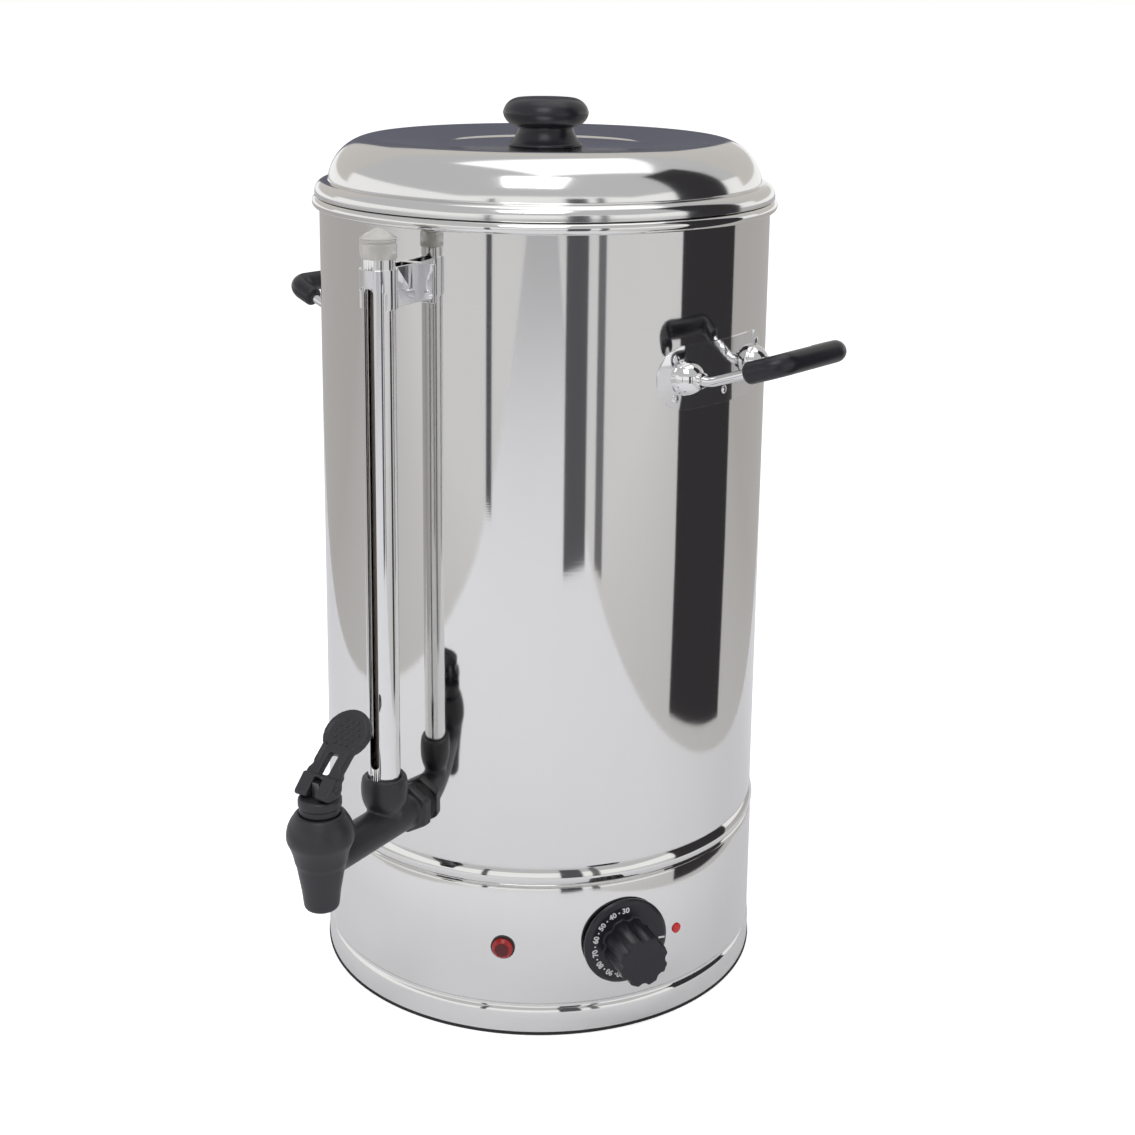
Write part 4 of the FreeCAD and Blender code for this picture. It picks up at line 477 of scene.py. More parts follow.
@dataclass(frozen=True)
class Finish:
    """A finish of the urn, and the material that shows it."""

    name: str
    slot: str
    colour: Colour
    shade: Colour
    rough: float
    spread: float = 0.1
    metal: float = 0.0
    grain: Grain = Grain.MOULDED
    lines: float = 0.3
    bump: float = 0.02
    clear: float = 0.0
    bend: float = 1.46

    def material(self) -> bpy.types.Material:
        """The material, made once."""
        if self.name in bpy.data.materials:
            return bpy.data.materials[self.name]
        material = bpy.data.materials.new(self.name)
        material.use_nodes = True
        tree = material.node_tree
        shader = tree.nodes["Principled BSDF"]
        shader.inputs["Metallic"].default_value = self.metal
        shader.inputs["IOR"].default_value = self.bend
        shader.inputs["Transmission Weight"].default_value = self.clear
        if self.grain is Grain.CLEAR:
            shader.inputs["Base Color"].default_value = (*self.colour, 1.0)
            shader.inputs["Roughness"].default_value = self.rough
            return material
        place = tree.nodes.new("ShaderNodeTexCoord")
        label, fill = FILLS[self.grain]
        group = tree.nodes.new("ShaderNodeGroup")
        group.node_tree = node_group(label, Sockets({"Lines": 0.3, "Haze": 0.5}), fill)
        group.inputs["Lines"].default_value = self.lines
        group.inputs["Haze"].default_value = 1.0 - self.lines
        tree.links.new(place.outputs["Object"], group.inputs["Vector"])
        mix = tree.nodes.new("ShaderNodeMix")
        mix.data_type = "RGBA"
        mix.inputs["A"].default_value = (*self.colour, 1.0)
        mix.inputs["B"].default_value = (*self.shade, 1.0)
        tree.links.new(group.outputs["Value"], mix.inputs["Factor"])
        tree.links.new(mix.outputs["Result"], shader.inputs["Base Color"])
        rough = maths(tree, "ADD", self.rough,
                      maths(tree, "MULTIPLY", group.outputs["Value"], self.spread))
        tree.links.new(rough, shader.inputs["Roughness"])
        bump = tree.nodes.new("ShaderNodeBump")
        bump.inputs["Strength"].default_value = self.bump
        bump.inputs["Distance"].default_value = 0.001
        tree.links.new(group.outputs["Height"], bump.inputs["Height"])
        tree.links.new(bump.outputs["Normal"], shader.inputs["Normal"])
        return material


MIRROR = Finish("mirror_sheet", "polished_steel", (0.8, 0.795, 0.78), (0.74, 0.735, 0.72),
                0.035, 0.07, 1.0, Grain.SHEET, 0.35, 0.006)
SATIN = Finish("satin_sheet", "plain_steel", (0.66, 0.655, 0.64), (0.5, 0.495, 0.485),
               0.22, 0.15, 1.0, Grain.TURNED, 0.4, 0.03)
BRIGHT = Finish("bright_steel", "plain_steel", (0.84, 0.84, 0.85), (0.76, 0.76, 0.77),
                0.05, 0.07, 1.0, Grain.TURNED, 0.3, 0.006)
PRESSED = Finish("pressed_sheet", "polished_steel", (0.8, 0.795, 0.785), (0.74, 0.735, 0.725),
                 0.1, 0.08, 1.0, Grain.SHEET, 0.3, 0.004)
OILED = Finish("oiled_steel", "chrome", (0.2, 0.2, 0.205), (0.14, 0.14, 0.14),
               0.32, 0.15, 1.0, Grain.TURNED, 0.4, 0.02)
DULL_PIN = Finish("dull_pin", "plain_steel", (0.12, 0.12, 0.12), (0.08, 0.08, 0.08),
                  0.4, 0.15, 1.0, Grain.TURNED, 0.4, 0.02)
CHROME = Finish("chrome_plate", "chrome", (0.83, 0.83, 0.825), (0.76, 0.76, 0.755),
                0.04, 0.06, 1.0, Grain.TURNED, 0.25, 0.006)
GLOSS = Finish("gloss_black", "black_plastic", (0.01, 0.01, 0.014), (0.016, 0.016, 0.022),
               0.24, 0.12, grain=Grain.MOULDED, lines=0.2, bump=0.02)
BLACK = Finish("satin_black", "satin_black", (0.01, 0.01, 0.012), (0.018, 0.018, 0.021),
               0.26, 0.14, grain=Grain.MOULDED, lines=0.3, bump=0.04, bend=1.42)
RUBBER = Finish("black_rubber", "black_rubber", (0.015, 0.015, 0.015), (0.03, 0.03, 0.03),
                0.6, 0.2, grain=Grain.MOULDED, lines=0.5, bump=0.12)
SILICONE = Finish("silicone", "silicone", (0.62, 0.61, 0.58), (0.5, 0.49, 0.46),
                  0.45, 0.2, grain=Grain.MOULDED, lines=0.3, bump=0.05)
PHENOLIC = Finish("phenolic", "phenolic", (0.035, 0.028, 0.024), (0.06, 0.045, 0.035),
                  0.35, 0.2, grain=Grain.MOULDED, lines=0.5, bump=0.08)
FROST = Finish("frosted_cap", "clear_plastic", (0.84, 0.83, 0.8), (0.72, 0.71, 0.67),
               0.16, 0.1, grain=Grain.MOULDED, lines=0.2, bump=0.02, clear=0.6, bend=1.45)
# The glass's grey-brown tint and part-opaque body are painted shade: they darken the gauge's slot
# the way the shaded inside of the guard would.
GLASS = Finish("shade_tinted_glass", "glass", (0.42, 0.36, 0.32), (0.3, 0.26, 0.22),
               0.04, grain=Grain.CLEAR, clear=0.6, bend=1.47)
LENS = Finish("red_lens", "red_lens", (0.36, 0.016, 0.012), (0.2, 0.008, 0.008),
              0.12, 0.1, grain=Grain.MOULDED, lines=0.1, bump=0.02, clear=0.1, bend=1.46)
# The lens's top gets its own copy of the red lens finish: painted light, which tones the top apart
# from the side of the same red moulding.
LENS_TOP = Finish("red_lens_top_painted_light", "red_lens", (0.15, 0.018, 0.018), (0.07, 0.014, 0.016),
                  0.3, 0.1, grain=Grain.MOULDED, lines=0.1, bump=0.02, bend=1.4)
RED = Finish("red_plastic", "red_plastic", (0.8, 0.035, 0.015), (0.66, 0.025, 0.012),
             0.25, 0.1, grain=Grain.MOULDED, lines=0.2, bump=0.02)
PRINT = Finish("white_print", "black_plastic", (0.78, 0.78, 0.78), (0.6, 0.6, 0.6),
               0.5, 0.2, grain=Grain.MOULDED, lines=0.4, bump=0.02)
BRASS = Finish("machined_brass", "brass", (0.72, 0.53, 0.26), (0.55, 0.4, 0.2),
               0.2, 0.15, 1.0, Grain.TURNED, 0.4, 0.03)
COPPER = Finish("drawn_copper", "copper", (0.72, 0.4, 0.27), (0.5, 0.27, 0.18),
                0.25, 0.15, 1.0, Grain.TURNED, 0.4, 0.03)


@dataclass
class Tank:
    """The mirror-polished tank with its rolled rim and the bead over the joint."""

    wall: float = 1.0
    joint: float = 97.0
    band: float = 13.0
    bulge: float = 1.7
    bead: float = 3.5

    def shell(self) -> bpy.types.Object:
        """The tank's wall, spun from one closed profile."""
        inside = TANK - self.wall
        low, high = self.joint, self.joint + self.band
        middle = (low + high) / 2
        crease = TANK - 0.5
        profile = [(inside, low), (TANK - 0.3, low), (TANK, low + 0.3), (crease, low + 1.0)]
        profile += bow((crease, low + 1.0), (TANK + self.bulge, middle), self.band, 8)
        profile += bow((TANK + self.bulge, middle), (crease, high - 1.0), self.band, 8)
        profile += [(crease + 0.1, high - 0.5), (TANK - 0.1, high), (TANK, high + 0.6)]
        bead_at = (TANK + self.wall, RIM - self.bead)
        start = math.degrees(math.asin(-self.wall / self.bead)) - 90.0
        profile += [(TANK, 300.0), (TANK, bead_at[1] - 6.0)]
        profile += arc(bead_at, self.bead, start, 215.0, 30)
        profile += [(inside, bead_at[1] - 4.0), (inside, low)]
        return lathe("tank_wall", profile, 256)

    def dress(self) -> None:
        """Builds the tank."""
        wear(self.shell(), MIRROR, "urn", "tank_shell")


@dataclass
class Base:
    """The skirt round the heater, with its rolled groove, hem and foot."""

    wall: float = 1.0
    groove: float = 19.0
    hem: float = 0.7
    foot: float = 1.8

    def skirt(self) -> bpy.types.Object:
        """The skirt with a round-bottomed groove above its hem."""
        inner = SKIRT - self.wall
        hem = SKIRT + self.hem
        lip = 138.9
        low, high = self.groove - 2.6, self.groove + 2.6
        profile = [(inner, self.foot), (hem - 0.4, self.foot), (hem, self.foot + 0.4)]
        profile += [(hem, low - 1.4), (SKIRT + 0.3, low - 0.5), (SKIRT - 0.1, low + 0.5)]
        profile += bow((SKIRT - 0.1, low + 0.5), (SKIRT - 0.1, high - 0.5), -2.8, 8)
        profile += [(SKIRT, high + 0.3), (SKIRT, 60.0), (SKIRT, 95.9), (SKIRT - 0.3, 96.6)]
        profile += [(SKIRT - 1.0, 96.95), (lip, 97.0), (lip, 107.6), (lip - self.wall, 107.6)]
        profile += [(lip - self.wall, 96.0), (inner, 96.0), (inner, high + 1.0)]
        profile += [(inner - 0.9, high), (inner - 0.9, low), (inner, low - 1.0), (inner, self.foot)]
        return lathe("skirt_wall", profile, 256)

    def foot_ring(self) -> bpy.types.Object:
        """The rubber ring that the urn stands on."""
        out = SKIRT + self.hem + 0.5
        profile = [(138.3, 0.0), (out - 0.6, 0.0), (out - 0.1, 0.3), (out, 0.8)]
        profile += [(out, self.foot - 0.2), (out - 0.2, self.foot), (139.9, self.foot)]
        profile += [(139.9, 9.0), (138.3, 9.0), (138.3, 0.0)]
        return lathe("foot", profile, 192)

    def dress(self) -> None:
        """Builds the skirt and the foot."""
        wear(self.skirt(), MIRROR, "urn", "base_skirt")
        wear(self.foot_ring(), RUBBER, "urn", "foot_ring")


@dataclass
class Lid:
    """The pressed lid with its dish and the turned knob."""

    gap: float = 0.3
    flange: float = 142.8
    dome: float = 28.7
    wall: float = 1.0

    def shell(self) -> bpy.types.Object:
        """The pressed sheet, from its lip to the hole under the knob."""
        low = RIM + self.gap
        roll = 6.5
        top = low + 2.5 + roll
        step = top + 1.2
        peak = step + 25.5
        edge = peak - 5.2
        end = self.flange - roll
        profile = [(self.flange - self.wall, low), (self.flange - 0.3, low)]
        profile += [(self.flange, low + 0.3)]
        profile += arc((end, low + 2.5), roll, 0, 84, 9)
        profile += [(end - 0.9, top + 0.15), (134.75, top + 0.3), (134.5, top + 0.7), (134.5, step)]
        profile += bow((134.5, step), (107.8, peak - 0.25), self.dome, 26)
        profile += [(106.6, peak - 0.36), (105.0, peak - 0.62), (103.0, peak - 0.9)]
        profile += [(68.6, edge + 0.4), (67.2, edge + 0.15), (66.2, edge - 0.5)]
        profile += [(65.2, edge - 0.8), (2.7, edge - 0.8)]
        under = edge - 0.8 - self.wall
        profile += [(2.7, under), (65.0, under), (68.6, edge + 0.4 - self.wall)]
        profile += [(105.2, peak - 1.8 - self.wall)]
        profile += bow((105.2, peak - 1.8 - self.wall), (133.5, step), -(self.dome - self.wall), 18)
        profile += [(133.5, top - self.wall), (end, top - self.wall)]
        profile += arc((end, low + 2.5), roll - self.wall, 84, 0, 7)
        profile += [(self.flange - self.wall, low)]
        return lathe("lid_sheet", profile, 256)

    def knob(self) -> bpy.types.Object:
        """The knob: a flared foot, a neck and a round head with a shallow dip."""
        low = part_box("lid_knob")[0].z / MM
        neck, middle, top = low + 11.5, low + 20.5, low + 29.5
        profile = [(2.55, low), (22.6, low), (23.0, low + 0.4)]
        profile += [(23.0, low + 1.1), (22.7, low + 1.6)]
        profile += bow((22.7, low + 1.6), (17.0, neck), -15.0, 9)
        profile += [(17.3, neck + 0.4)]
        profile += bow((17.3, neck + 0.4), (26.6, middle), 9.6, 12)
        profile += bow((26.6, middle), (16.2, top - 0.05), 10.9, 14)
        profile += bow((16.2, top - 0.05), (0.0, top - 1.6), -82.0, 8)
        profile += [(0.0, low + 14.0), (2.55, low + 14.0), (2.55, low)]
        return lathe("knob_turned", profile, 128, 50.0)

    def dress(self) -> None:
        """Builds the lid's pieces."""
        wear(self.shell(), PRESSED, "lid", "lid_shell")
        wear(self.knob(), GLOSS, "lid", "lid_knob")


@dataclass
class Handle:
    """One side handle: a bent rod in domed sleeves, with a moulded grip."""

    side: str
    azimuth: float
    height: float = 405.0
    half: float = 32.7
    bend: float = 20.0
    corner: float = 11.0

    def path(self) -> list[Triple]:
        """The rod's corners in the handle's own frame."""
        start = math.sqrt(140.9 ** 2 - (self.half - 3.0) ** 2)
        bar = math.sqrt(TANK ** 2 - self.half ** 2) + 64.0
        left = [(-self.half, -start, 0.0), (-self.half, -start - 17.0, 0.0),
                (-self.half, -bar, 16.0)]
        return left + [(-x, y, z) for x, y, z in reversed(left)]

    def grip(self) -> bpy.types.Object:
        """The grip over the crossbar, both corners and a short part of each leg."""
        path = [Vector(point) for point in self.path()]
        back = (path[1] - path[2]).normalized() * 22.0
        ends = [path[2] + back, path[2], path[3], path[3] + Vector((-back.x, back.y, back.z))]
        corners = [tuple(point) for point in ends]
        piece = pipe(f"grip_{self.side}", corners, [self.corner] * 2, 6.5, 40)
        return soften(piece, 2.4, 4, 60.0)

    def dress(self) -> None:
        """Builds the rod, the grip and the fittings of one side."""
        bends = [self.bend, self.corner, self.corner, self.bend]
        rod = pipe(f"rod_{self.side}", self.path(), bends, 3.0, 32)
        wear(swing(rod, self.azimuth, self.height), BRIGHT, "urn", f"handle_rod_{self.side}")
        grip = swing(self.grip(), self.azimuth, self.height)
        wear(grip, GLOSS, "urn", f"handle_grip_{self.side}")
        sleeves = from_frame(f"sleeves_{self.side}", f"handle_ferrules_{self.side}", 38.0)
        wear(sleeves, CHROME, "urn", f"handle_ferrules_{self.side}")
        plate = soften(from_frame(f"plate_{self.side}", f"handle_plate_{self.side}"), 0.25, 2, 50.0)
        wear(plate, BRIGHT, "urn", f"handle_plate_{self.side}")
        rivets = from_frame(f"rivet_heads_{self.side}", f"handle_rivets_{self.side}", 50.0)
        wear(rivets, BRIGHT, "urn", f"handle_rivets_{self.side}")


@dataclass
class Tap:
    """The moulded tap with its bonnet and lever."""

    lean: float = 50.0
    length: float = 33.4
    pivot: float = 187.5

    def dimples(self) -> bpy.types.Object:
        """The raised dots on the face of the lever's paddle."""
        deselect()
        dots: list[bpy.types.Object] = []
        pitch = 4.1
        for row in range(-3, 4):
            for column in range(-3, 4):
                x = pitch * (column + (0.5 if row % 2 else 0.0))
                y = pitch * 0.87 * row
                if math.hypot(x, y) < 10.6:
                    at = (x * MM, (y + self.length) * MM, 1.5 * MM)
                    if not dots:
                        bpy.ops.mesh.primitive_uv_sphere_add(segments=12, ring_count=8,
                                                             radius=1.1 * MM, location=at)
                        bpy.ops.transform.resize(value=(1, 1, 0.55))
                        dot = bpy.context.object
                        bpy.ops.object.shade_smooth()
                    else:
                        dot = dots[0].copy()
                        dot.data = dots[0].data.copy()
                        dot.location = at
                        bpy.context.scene.collection.objects.link(dot)
                    dots.append(dot)
        deselect()
        for dot in dots:
            dot.select_set(True)
        bpy.context.view_layer.objects.active = dots[0]
        bpy.ops.object.join()
        piece = bpy.context.object
        piece.name = "lever_dots"
        settle(piece)
        # The paddle's own frame: +Y runs up the arm and +Z out of its face.
        tip = Matrix.Rotation(math.radians(90.0 - self.lean), 4, "X")
        at = Matrix.Translation((0, -TAP_REACH * MM, self.pivot * MM))
        piece.matrix_world = at @ tip
        return settle(piece)

    def dress(self) -> None:
        """Builds the tap's pieces."""
        wear(mould("tap_moulding", "tap_body", 0.75, 16), BLACK, "urn", "tap_body")
        wear(mould("bonnet", "tap_bonnet", 0.5, 4), BLACK, "urn", "tap_bonnet")
        wear(mould("lever", "tap_lever", 0.5, 12), BLACK, "lever", "tap_lever")
        wear(self.dimples(), BLACK, "lever")


@dataclass
class Gauge:
    """The level gauge: glass, slotted guard, cap and clip."""

    low: float = 157.6
    top: float = 486.0

    def glass(self) -> bpy.types.Object:
        """The glass tube with fire-polished ends."""
        profile = [(3.6, self.low + 0.3), (3.9, self.low), (4.7, self.low), (5.0, self.low + 0.3)]
        profile += [(5.0, self.top - 0.3), (4.7, self.top), (3.9, self.top), (3.6, self.top - 0.3)]
        profile += [(3.6, self.low + 0.3)]
        return lathe("glass_tube", profile, 48, 40.0, (0.0, -GAUGE))

    def cap(self) -> bpy.types.Object:
        """The cap with its two fine ring lines and low cone."""
        out, inner, low, edge = 10.4, 9.55, 477.0, 489.0
        profile = [(inner, low), (out - 0.3, low), (out, low + 0.3), (out, edge - 4.0)]
        profile += [(out - 0.6, edge - 3.6), (out - 0.6, edge - 2.8), (out, edge - 2.4)]
        profile += [(out, edge - 1.9), (out - 0.5, edge - 1.6)]
        profile += [(out - 0.5, edge - 1.1), (out, edge - 0.8)]
        profile += [(out - 0.1, edge - 0.3), (out - 0.7, edge), (8.0, edge + 1.2)]
        profile += [(2.5, edge + 4.3), (1.4, edge + 4.9), (0.0, edge + 4.98)]
        profile += [(0.0, 488.0), (5.05, 487.0), (5.05, 480.05)]
        profile += [(inner, 480.05), (inner, low)]
        return lathe("cap_frosted", profile, 64, 40.0, (0.0, -GAUGE))

    def dress(self) -> None:
        """Builds the gauge's pieces."""
        wear(self.glass(), GLASS, "urn", "gauge_glass")
        wear(self.cap(), FROST, "urn", "gauge_cap")
        wear(from_frame("guard_tube", "gauge_guard", 40.0), CHROME, "urn", "gauge_guard")
        strap = soften(from_frame("clip_strap", "gauge_clip"), 0.3, 2, 50.0)
        wear(strap, BRIGHT, "urn", "gauge_clip")


@dataclass
class Controls:
    """The heat dial with its printed numbers, the lamp and the red dot."""

    azimuth: float = 54.0
    height: float = 59.5
    face: float = 145.95
    numbers: tuple[str, ...] = ("30", "40", "50", "60", "70", "80", "90", "100")

    def on_dial(self, piece: bpy.types.Object, angle: float, radius: float) -> bpy.types.Object:
        """Puts a flat mark on the dial's face, upright along its spoke.

        Args:
            piece: the mark, made at the origin in the XY plane.
            angle: degrees round the dial, counter-clockwise from the right as seen from outside.
            radius: distance from the dial's middle, in mm.

        Returns:
            The same piece, as a mesh.
        """
        pick(piece)
        if piece.type != "MESH":
            bpy.ops.object.convert(target="MESH")
            piece = bpy.context.object
        turn = math.radians(angle)
        spot = Matrix.Translation((radius * MM * math.cos(turn), radius * MM * math.sin(turn), 0))
        spoke = Matrix.Rotation(turn - math.pi / 2, 4, "Z")
        face = Matrix.Translation((0, 0, self.face * MM))
        upward = Matrix.Rotation(math.pi / 2, 4, "X")
        out = Matrix.Rotation(math.radians(self.azimuth), 4, "Z") @ upward
        lift = Matrix.Translation((0, 0, self.height * MM))
        piece.matrix_world = lift @ out @ face @ spot @ spoke
        return settle(piece)

    def number(self, words: str, angle: float, size: float = 4.8) -> bpy.types.Object:
        """One printed number of the dial."""
        deselect()
        bpy.ops.object.text_add(location=(0, 0, 0))
        text = bpy.context.object
        text.name = f"dial_print_{words}"
        text.data.body = words
        text.data.size = size * MM
        text.data.align_x = "CENTER"
        text.data.align_y = "CENTER"
        text.data.extrude = 0.03 * MM
        text.data.offset = 0.15 * MM
        text.data.resolution_u = 3
        return self.on_dial(text, angle, PRINT_RADIUS)

    def dot(self, index: int, angle: float) -> bpy.types.Object:
        """One printed dot between two numbers."""
        deselect()
        bpy.ops.mesh.primitive_cylinder_add(vertices=16, radius=0.55 * MM, depth=0.06 * MM)
        piece = bpy.context.object
        piece.name = f"dial_dot_{index}"
        return self.on_dial(piece, angle, PRINT_RADIUS)

    def tick(self, angle: float) -> bpy.types.Object:
        """The printed bar that points at the red dot when the dial is at rest."""
        deselect()
        bpy.ops.mesh.primitive_cube_add(size=MM)
        bpy.ops.transform.resize(value=(1.2, 4.2, 0.06))
        piece = bpy.context.object
        piece.name = "dial_tick"
        bpy.ops.object.transform_apply(location=True, rotation=True, scale=True)
        return self.on_dial(piece, angle, TICK_RADIUS)

    def lens(self) -> bpy.types.Object:
        """The lamp's lens: a ribbed side under a sloping crown."""
        base = SKIRT + 1.0
        profile = [(0.0, base), (6.2, base), (6.5, base + 0.3)]
        profile += [(6.5, SKIRT + 2.4), (6.2, SKIRT + 2.8)]
        profile += [(4.7, SKIRT + 4.1), (4.2, SKIRT + 4.1), (4.2, SKIRT + 3.9), (0.0, SKIRT + 3.9)]
        return stand_out(lathe("lens_side", profile, 18, 20.0), LAMP_AZIMUTH, LAMP_HEIGHT)

    def crown(self) -> bpy.types.Object:
        """The top of the lamp's lens; its own darker, rougher copy of the red lens finish is
        painted light on the one red moulding.
        """
        profile = [(0.0, SKIRT + 3.9), (4.1, SKIRT + 3.9), (4.0, SKIRT + 4.2)]
        profile += bow((4.0, SKIRT + 4.2), (0.0, SKIRT + 4.58), 24.0, 5)
        return stand_out(lathe("lens_crown", profile, 36, 30.0), LAMP_AZIMUTH, LAMP_HEIGHT)

    def dress(self) -> None:
        """Builds the controls' pieces."""
        wear(mould("dial_moulding", "thermostat_knob", 0.55, 5), GLOSS, "dial", "thermostat_knob")
        first, last = 93.0, 262.0
        gap = (last - first) / (len(self.numbers) - 1)
        for index, words in enumerate(self.numbers):
            angle = first + gap * index
            wear(self.number(words, angle), PRINT, "dial")
            if index < len(self.numbers) - 1:
                wear(self.dot(index, angle + gap / 2), PRINT, "dial")
        wear(self.tick(TICK_ANGLE), PRINT, "dial")
        wear(self.lens(), LENS, "urn", "pilot_lens")
        wear(self.crown(), LENS_TOP, "urn")
        wear(from_frame("dot_head", "index_dot", 50.0), RED, "urn", "index_dot")


PLAIN: dict[str, Finish] = {
    "tank_bottom": SATIN, "base_plate": SATIN, "base_brackets": SATIN, "base_screws": BRIGHT,
    "lid_skirt": SATIN, "knob_washer": BRIGHT, "knob_screw": BRIGHT, "tap_seal": RUBBER,
    "tap_inner_washer": RUBBER, "tap_locknut": BRIGHT, "tap_stem": OILED, "tap_lever_pin": DULL_PIN,
    "tap_seat_cup": SILICONE, "tap_spring": BRIGHT, "gauge_seal": SILICONE, "clip_screws": BRIGHT,
    "clip_nuts": BRIGHT, "thermostat_spindle": BRIGHT, "thermostat_body": PHENOLIC,
    "thermostat_screws": BRIGHT, "pilot_body": BLACK, "pilot_nut": BLACK, "sensor_bulb": COPPER,
    "sensor_clip": SATIN, "capillary": COPPER, "heating_element": SATIN,
    "element_gaskets": SILICONE, "element_nuts": BRASS, "boil_dry_cutout": PHENOLIC,
    "reset_plunger": RED, "terminal_block": PHENOLIC, "earth_stud": BRASS, "cable_gland": BLACK,
    "gland_seal": RUBBER, "gland_locknut": BLACK,
}


def dress_solids() -> None:
    """Gives each solid that stays in sight its own finish."""
    for name, finish in PLAIN.items():
        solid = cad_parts[name]
        solid.data.materials.clear()
        solid.data.materials.append(finish.material())


@dataclass
class Card:
    """A panel of the stage that only reflections show."""

    name: str
    corners: tuple[Triple, ...]
    tone: Colour
    far_tone: Colour | None = None

    def fade(self, tree: bpy.types.NodeTree, shader: bpy.types.Node) -> None:
        """Lets the tone change from the camera's side of the urn to the far side."""
        turn = math.radians(VIEW_AZIMUTH)
        place = tree.nodes.new("ShaderNodeTexCoord")
        depth = tree.nodes.new("ShaderNodeVectorMath")
        depth.operation = "DOT_PRODUCT"
        depth.inputs[1].default_value = (-math.sin(turn), math.cos(turn), 0.0)
        tree.links.new(place.outputs["Object"], depth.inputs[0])
        share = tree.nodes.new("ShaderNodeMapRange")
        share.inputs["From Min"].default_value = -1.1
        share.inputs["From Max"].default_value = 0.6
        tree.links.new(depth.outputs["Value"], share.inputs["Value"])
        mix = tree.nodes.new("ShaderNodeMix")
        mix.data_type = "RGBA"
        mix.inputs["A"].default_value = (*self.tone, 1.0)
        mix.inputs["B"].default_value = (*self.far_tone, 1.0)
        tree.links.new(share.outputs["Result"], mix.inputs["Factor"])
        tree.links.new(mix.outputs["Result"], shader.inputs["Emission Color"])

    def build(self) -> None:
        """Places the panel, given in metres in the camera's frame of azimuth."""
        turn = Matrix.Rotation(math.radians(VIEW_AZIMUTH), 4, "Z")
        deselect()
        bpy.ops.mesh.primitive_plane_add(size=1.0)
        card = bpy.context.object
        card.name = self.name
        for vertex, corner in zip(card.data.vertices, self.corners):
            vertex.co = turn @ Vector(corner)
        material = bpy.data.materials.new(self.name)
        material.use_nodes = True
        shader = material.node_tree.nodes["Principled BSDF"]
        shader.inputs["Base Color"].default_value = (0, 0, 0, 1)
        shader.inputs["Specular IOR Level"].default_value = 0.0
        shader.inputs["Emission Color"].default_value = (*self.tone, 1.0)
        shader.inputs["Emission Strength"].default_value = 1.0
        if self.far_tone:
            self.fade(material.node_tree, shader)
        card.data.materials.append(material)
        card.visible_camera = False
        card.visible_diffuse = False
        card.visible_shadow = False
        card.visible_transmission = False
        card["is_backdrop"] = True


def upright(name: str, left: Pair, right: Pair, low: float, high: float, tone: Colour) -> Card:
    """An upright card between two points of the floor, in metres.

    Args:
        name: name of the card.
        left: first foot.
        right: second foot.
        low: height of its lower edge.
        high: height of its upper edge.
        tone: what reflections see.

    Returns:
        The card.
    """
    corners = ((*left, low), (*right, low), (*left, high), (*right, high))
    return Card(name, corners, tone)


def flat(name: str, low: Pair, high: Pair, height: float, tone: Colour,
         far_tone: Colour | None = None) -> Card:
    """A level card between two corners, in metres.

    Args:
        name: name of the card.
        low: its nearest left corner.
        high: its farthest right corner.
        height: its height.
        tone: what reflections see on the camera's side of the urn.
        far_tone: what they see beyond the urn, when that differs.

    Returns:
        The card.
    """
    corners = ((low[0], low[1], height), (high[0], low[1], height),
               (low[0], high[1], height), (high[0], high[1], height))
    return Card(name, corners, tone, far_tone)


def backdrop_share(tree: bpy.types.NodeTree) -> bpy.types.NodeSocket:
    """1 for rays that should see the plain white background, else 0."""
    path = tree.nodes.new("ShaderNodeLightPath")
    seen = maths(tree, "ADD", path.outputs["Is Camera Ray"], path.outputs["Is Glossy Ray"])
    both = maths(tree, "ADD", seen, path.outputs["Is Transmission Ray"])
    return maths(tree, "MINIMUM", both, 1.0)


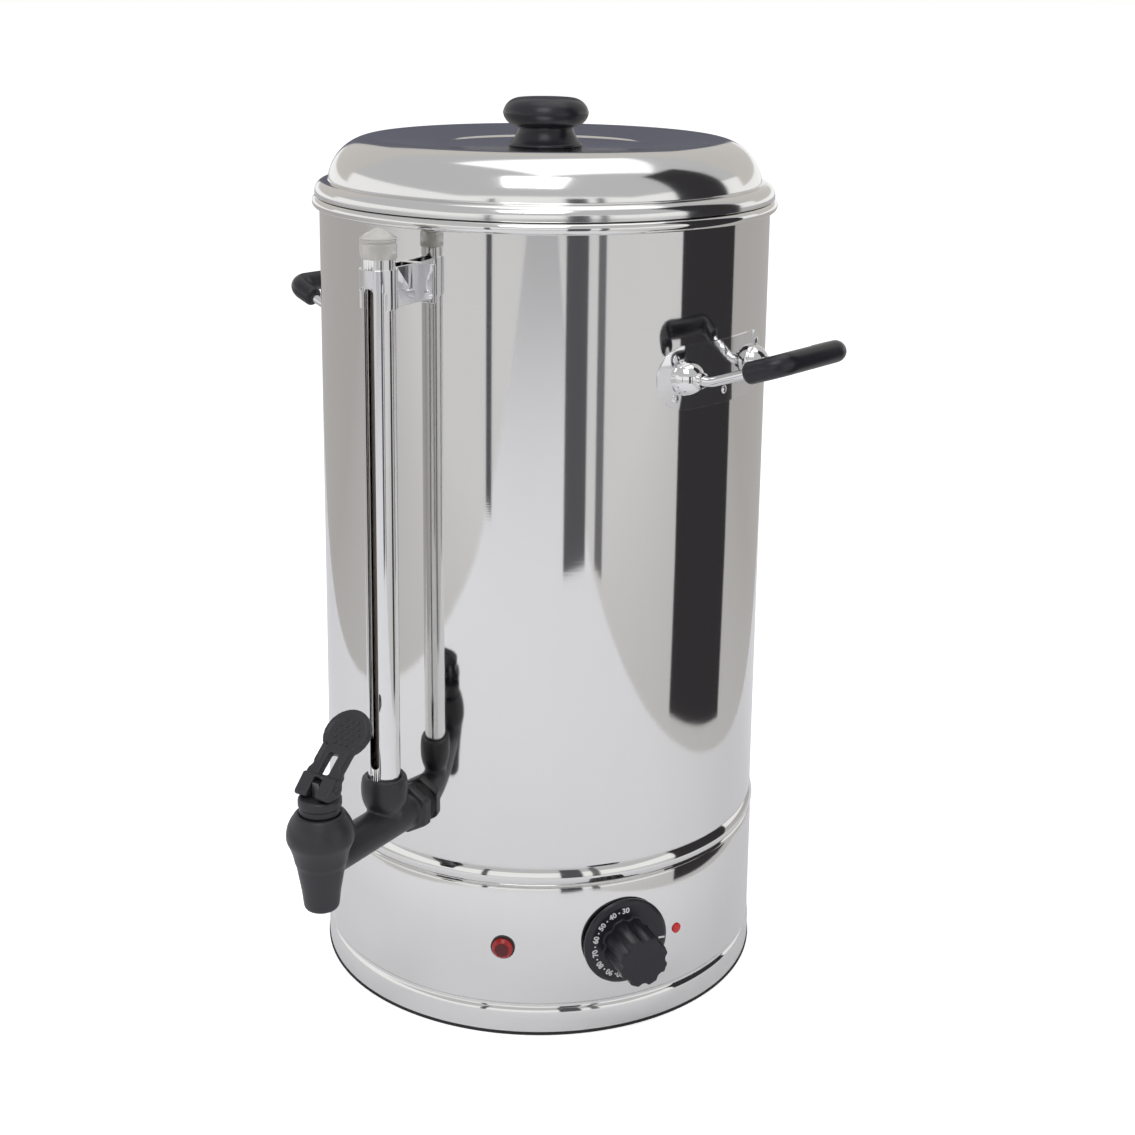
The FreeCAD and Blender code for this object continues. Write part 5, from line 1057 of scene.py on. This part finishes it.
@dataclass
class Studio:
    """The floor, the cards, the lamps, the world and the camera."""

    lens: float = 57.6
    distance: float = 1.134
    height: float = 0.6258
    pitch: float = 12.95
    yaw: float = 0.78
    roll: float = -0.68

    def floor(self) -> None:
        """A pale floor that keeps a faint shadow."""
        deselect()
        bpy.ops.mesh.primitive_plane_add(size=14.0, location=(0, 0, -0.0002))
        floor = bpy.context.object
        floor.name = "floor"
        material = bpy.data.materials.new("floor_white")
        material.use_nodes = True
        tree = material.node_tree
        shader = tree.nodes["Principled BSDF"]
        shader.inputs["Base Color"].default_value = (0.85, 0.85, 0.885, 1)
        shader.inputs["Roughness"].default_value = 0.7
        shader.inputs["Specular IOR Level"].default_value = 0.1
        shader.inputs["Emission Color"].default_value = (1, 1, 1, 1)
        path = tree.nodes.new("ShaderNodeLightPath")
        lift = maths(tree, "MULTIPLY", path.outputs["Is Camera Ray"], 0.62)
        tree.links.new(lift, shader.inputs["Emission Strength"])
        floor.data.materials.append(material)
        floor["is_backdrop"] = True

    def cards(self) -> None:
        """The dark and grey things that stand round the urn in its reflections."""
        black = (0.036, 0.034, 0.037)
        grey = (0.47, 0.455, 0.445)
        pale = (0.72, 0.715, 0.725)
        for card in (
            upright("card_side", (0.455, -0.238), (0.47, 0.045), 0.0, 1.05, black),
            upright("card_front", (0.172, -0.99), (0.36, -0.985), 0.0, 0.75, (0.1, 0.1, 0.11)),
            upright("card_thin", (0.43, -0.94), (0.46, -0.86), 0.0, 0.75, (0.16, 0.16, 0.17)),
            upright("card_left", (-0.582, -1.145), (-0.508, -1.13), 0.0, 0.75, (0.09, 0.09, 0.1)),
            upright("card_dish", (-0.42, 1.2), (0.3, 1.2), 0.4, 1.15, (0.13, 0.132, 0.165)),
            upright("card_sky", (-2.4, 1.6), (2.4, 1.6), 0.7, 2.4, (0.62, 0.6, 0.57)),
            flat("wing_left", (-4.0, -4.0), (-0.56, 4.0), 0.001, pale, grey),
            flat("wing_right", (0.41, -4.0), (4.0, 4.0), 0.001, pale, grey),
            flat("card_ceiling", (-6.0, -6.0), (6.0, 6.0), 2.6, (0.58, 0.58, 0.59)),
        ):
            card.build()

    def lamp(self, name: str, at: Triple, size: float, power: float, mirrored: bool) -> None:
        """One soft square lamp that looks at the urn, and that polished metal may mirror."""
        deselect()
        bpy.ops.object.light_add(type="AREA", location=at)
        lamp = bpy.context.object
        lamp.name = name
        lamp.data.size = size
        lamp.data.energy = power
        lamp.visible_glossy = mirrored
        aim = Vector((0, 0, 0.25)) - Vector(at)
        lamp.rotation_euler = aim.to_track_quat("-Z", "Y").to_euler()

    def world(self) -> None:
        """White where the camera or a reflection sees it, softer as a light."""
        world = bpy.data.worlds.new("studio")
        bpy.context.scene.world = world
        world.use_nodes = True
        tree = world.node_tree
        ground = tree.nodes["Background"]
        ground.inputs["Color"].default_value = (1, 1, 1, 1)
        share = backdrop_share(tree)
        strength = maths(tree, "ADD", maths(tree, "MULTIPLY", share, 0.45), 0.55)
        tree.links.new(strength, ground.inputs["Strength"])

    def camera(self) -> None:
        """The camera of the photograph: pitched, rolled and slightly shifted."""
        pitch, yaw, roll = (math.radians(a) for a in (self.pitch, self.yaw, self.roll))
        ahead = Vector((math.sin(yaw) * math.cos(pitch), math.cos(yaw) * math.cos(pitch),
                        -math.sin(pitch)))
        right = Vector((math.cos(yaw), -math.sin(yaw), 0.0))
        down = ahead.cross(right)
        tilted = math.cos(roll) * right + math.sin(roll) * down
        lowered = -math.sin(roll) * right + math.cos(roll) * down
        turn = Matrix.Rotation(math.radians(VIEW_AZIMUTH), 3, "Z")
        axes = Matrix((turn @ tilted, turn @ -lowered, turn @ -ahead)).transposed()
        deselect()
        bpy.ops.object.camera_add()
        camera = bpy.context.object
        camera.name = "camera"
        place = turn @ Vector((0, -self.distance, self.height))
        camera.matrix_world = Matrix.Translation(place) @ axes.to_4x4()
        camera.data.lens = self.lens
        camera.data.sensor_width = 36.0
        camera.data.shift_y = -0.1476
        camera.data.clip_start = 0.01
        bpy.context.scene.camera = camera

    def build(self) -> None:
        """Sets the whole stage."""
        self.floor()
        self.cards()
        self.lamp("lamp_left", (-1.2, -1.5, 1.6), 1.2, 14.0, False)
        self.lamp("lamp_right", (1.9, -0.6, 1.4), 1.0, 7.0, False)
        self.lamp("lamp_top", (0.1, 0.2, 2.1), 1.4, 4.9, True)
        self.lamp("lamp_key", (0.55, -1.15, 2.0), 0.9, 6.5, True)
        self.world()
        self.camera()
        bpy.context.scene.view_settings.view_transform = "Standard"


def corners() -> list[list[float]]:
    """The lowest and highest corner of what is shown."""
    return [list(corner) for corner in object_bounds()]


def main() -> None:
    """Builds the urn piece by piece, then the stage."""
    logging.basicConfig(level=logging.INFO, format="%(message)s")
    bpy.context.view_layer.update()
    makers = [Tank(), Base(), Lid(), Handle("right", 81.5), Handle("left", 261.5), Tap(), Gauge(),
              Controls()]
    for maker in makers:
        LOG.info("building %s", type(maker).__name__)
        maker.dress()
    dress_solids()
    Studio().build()


if __name__ == "__main__":
    main()
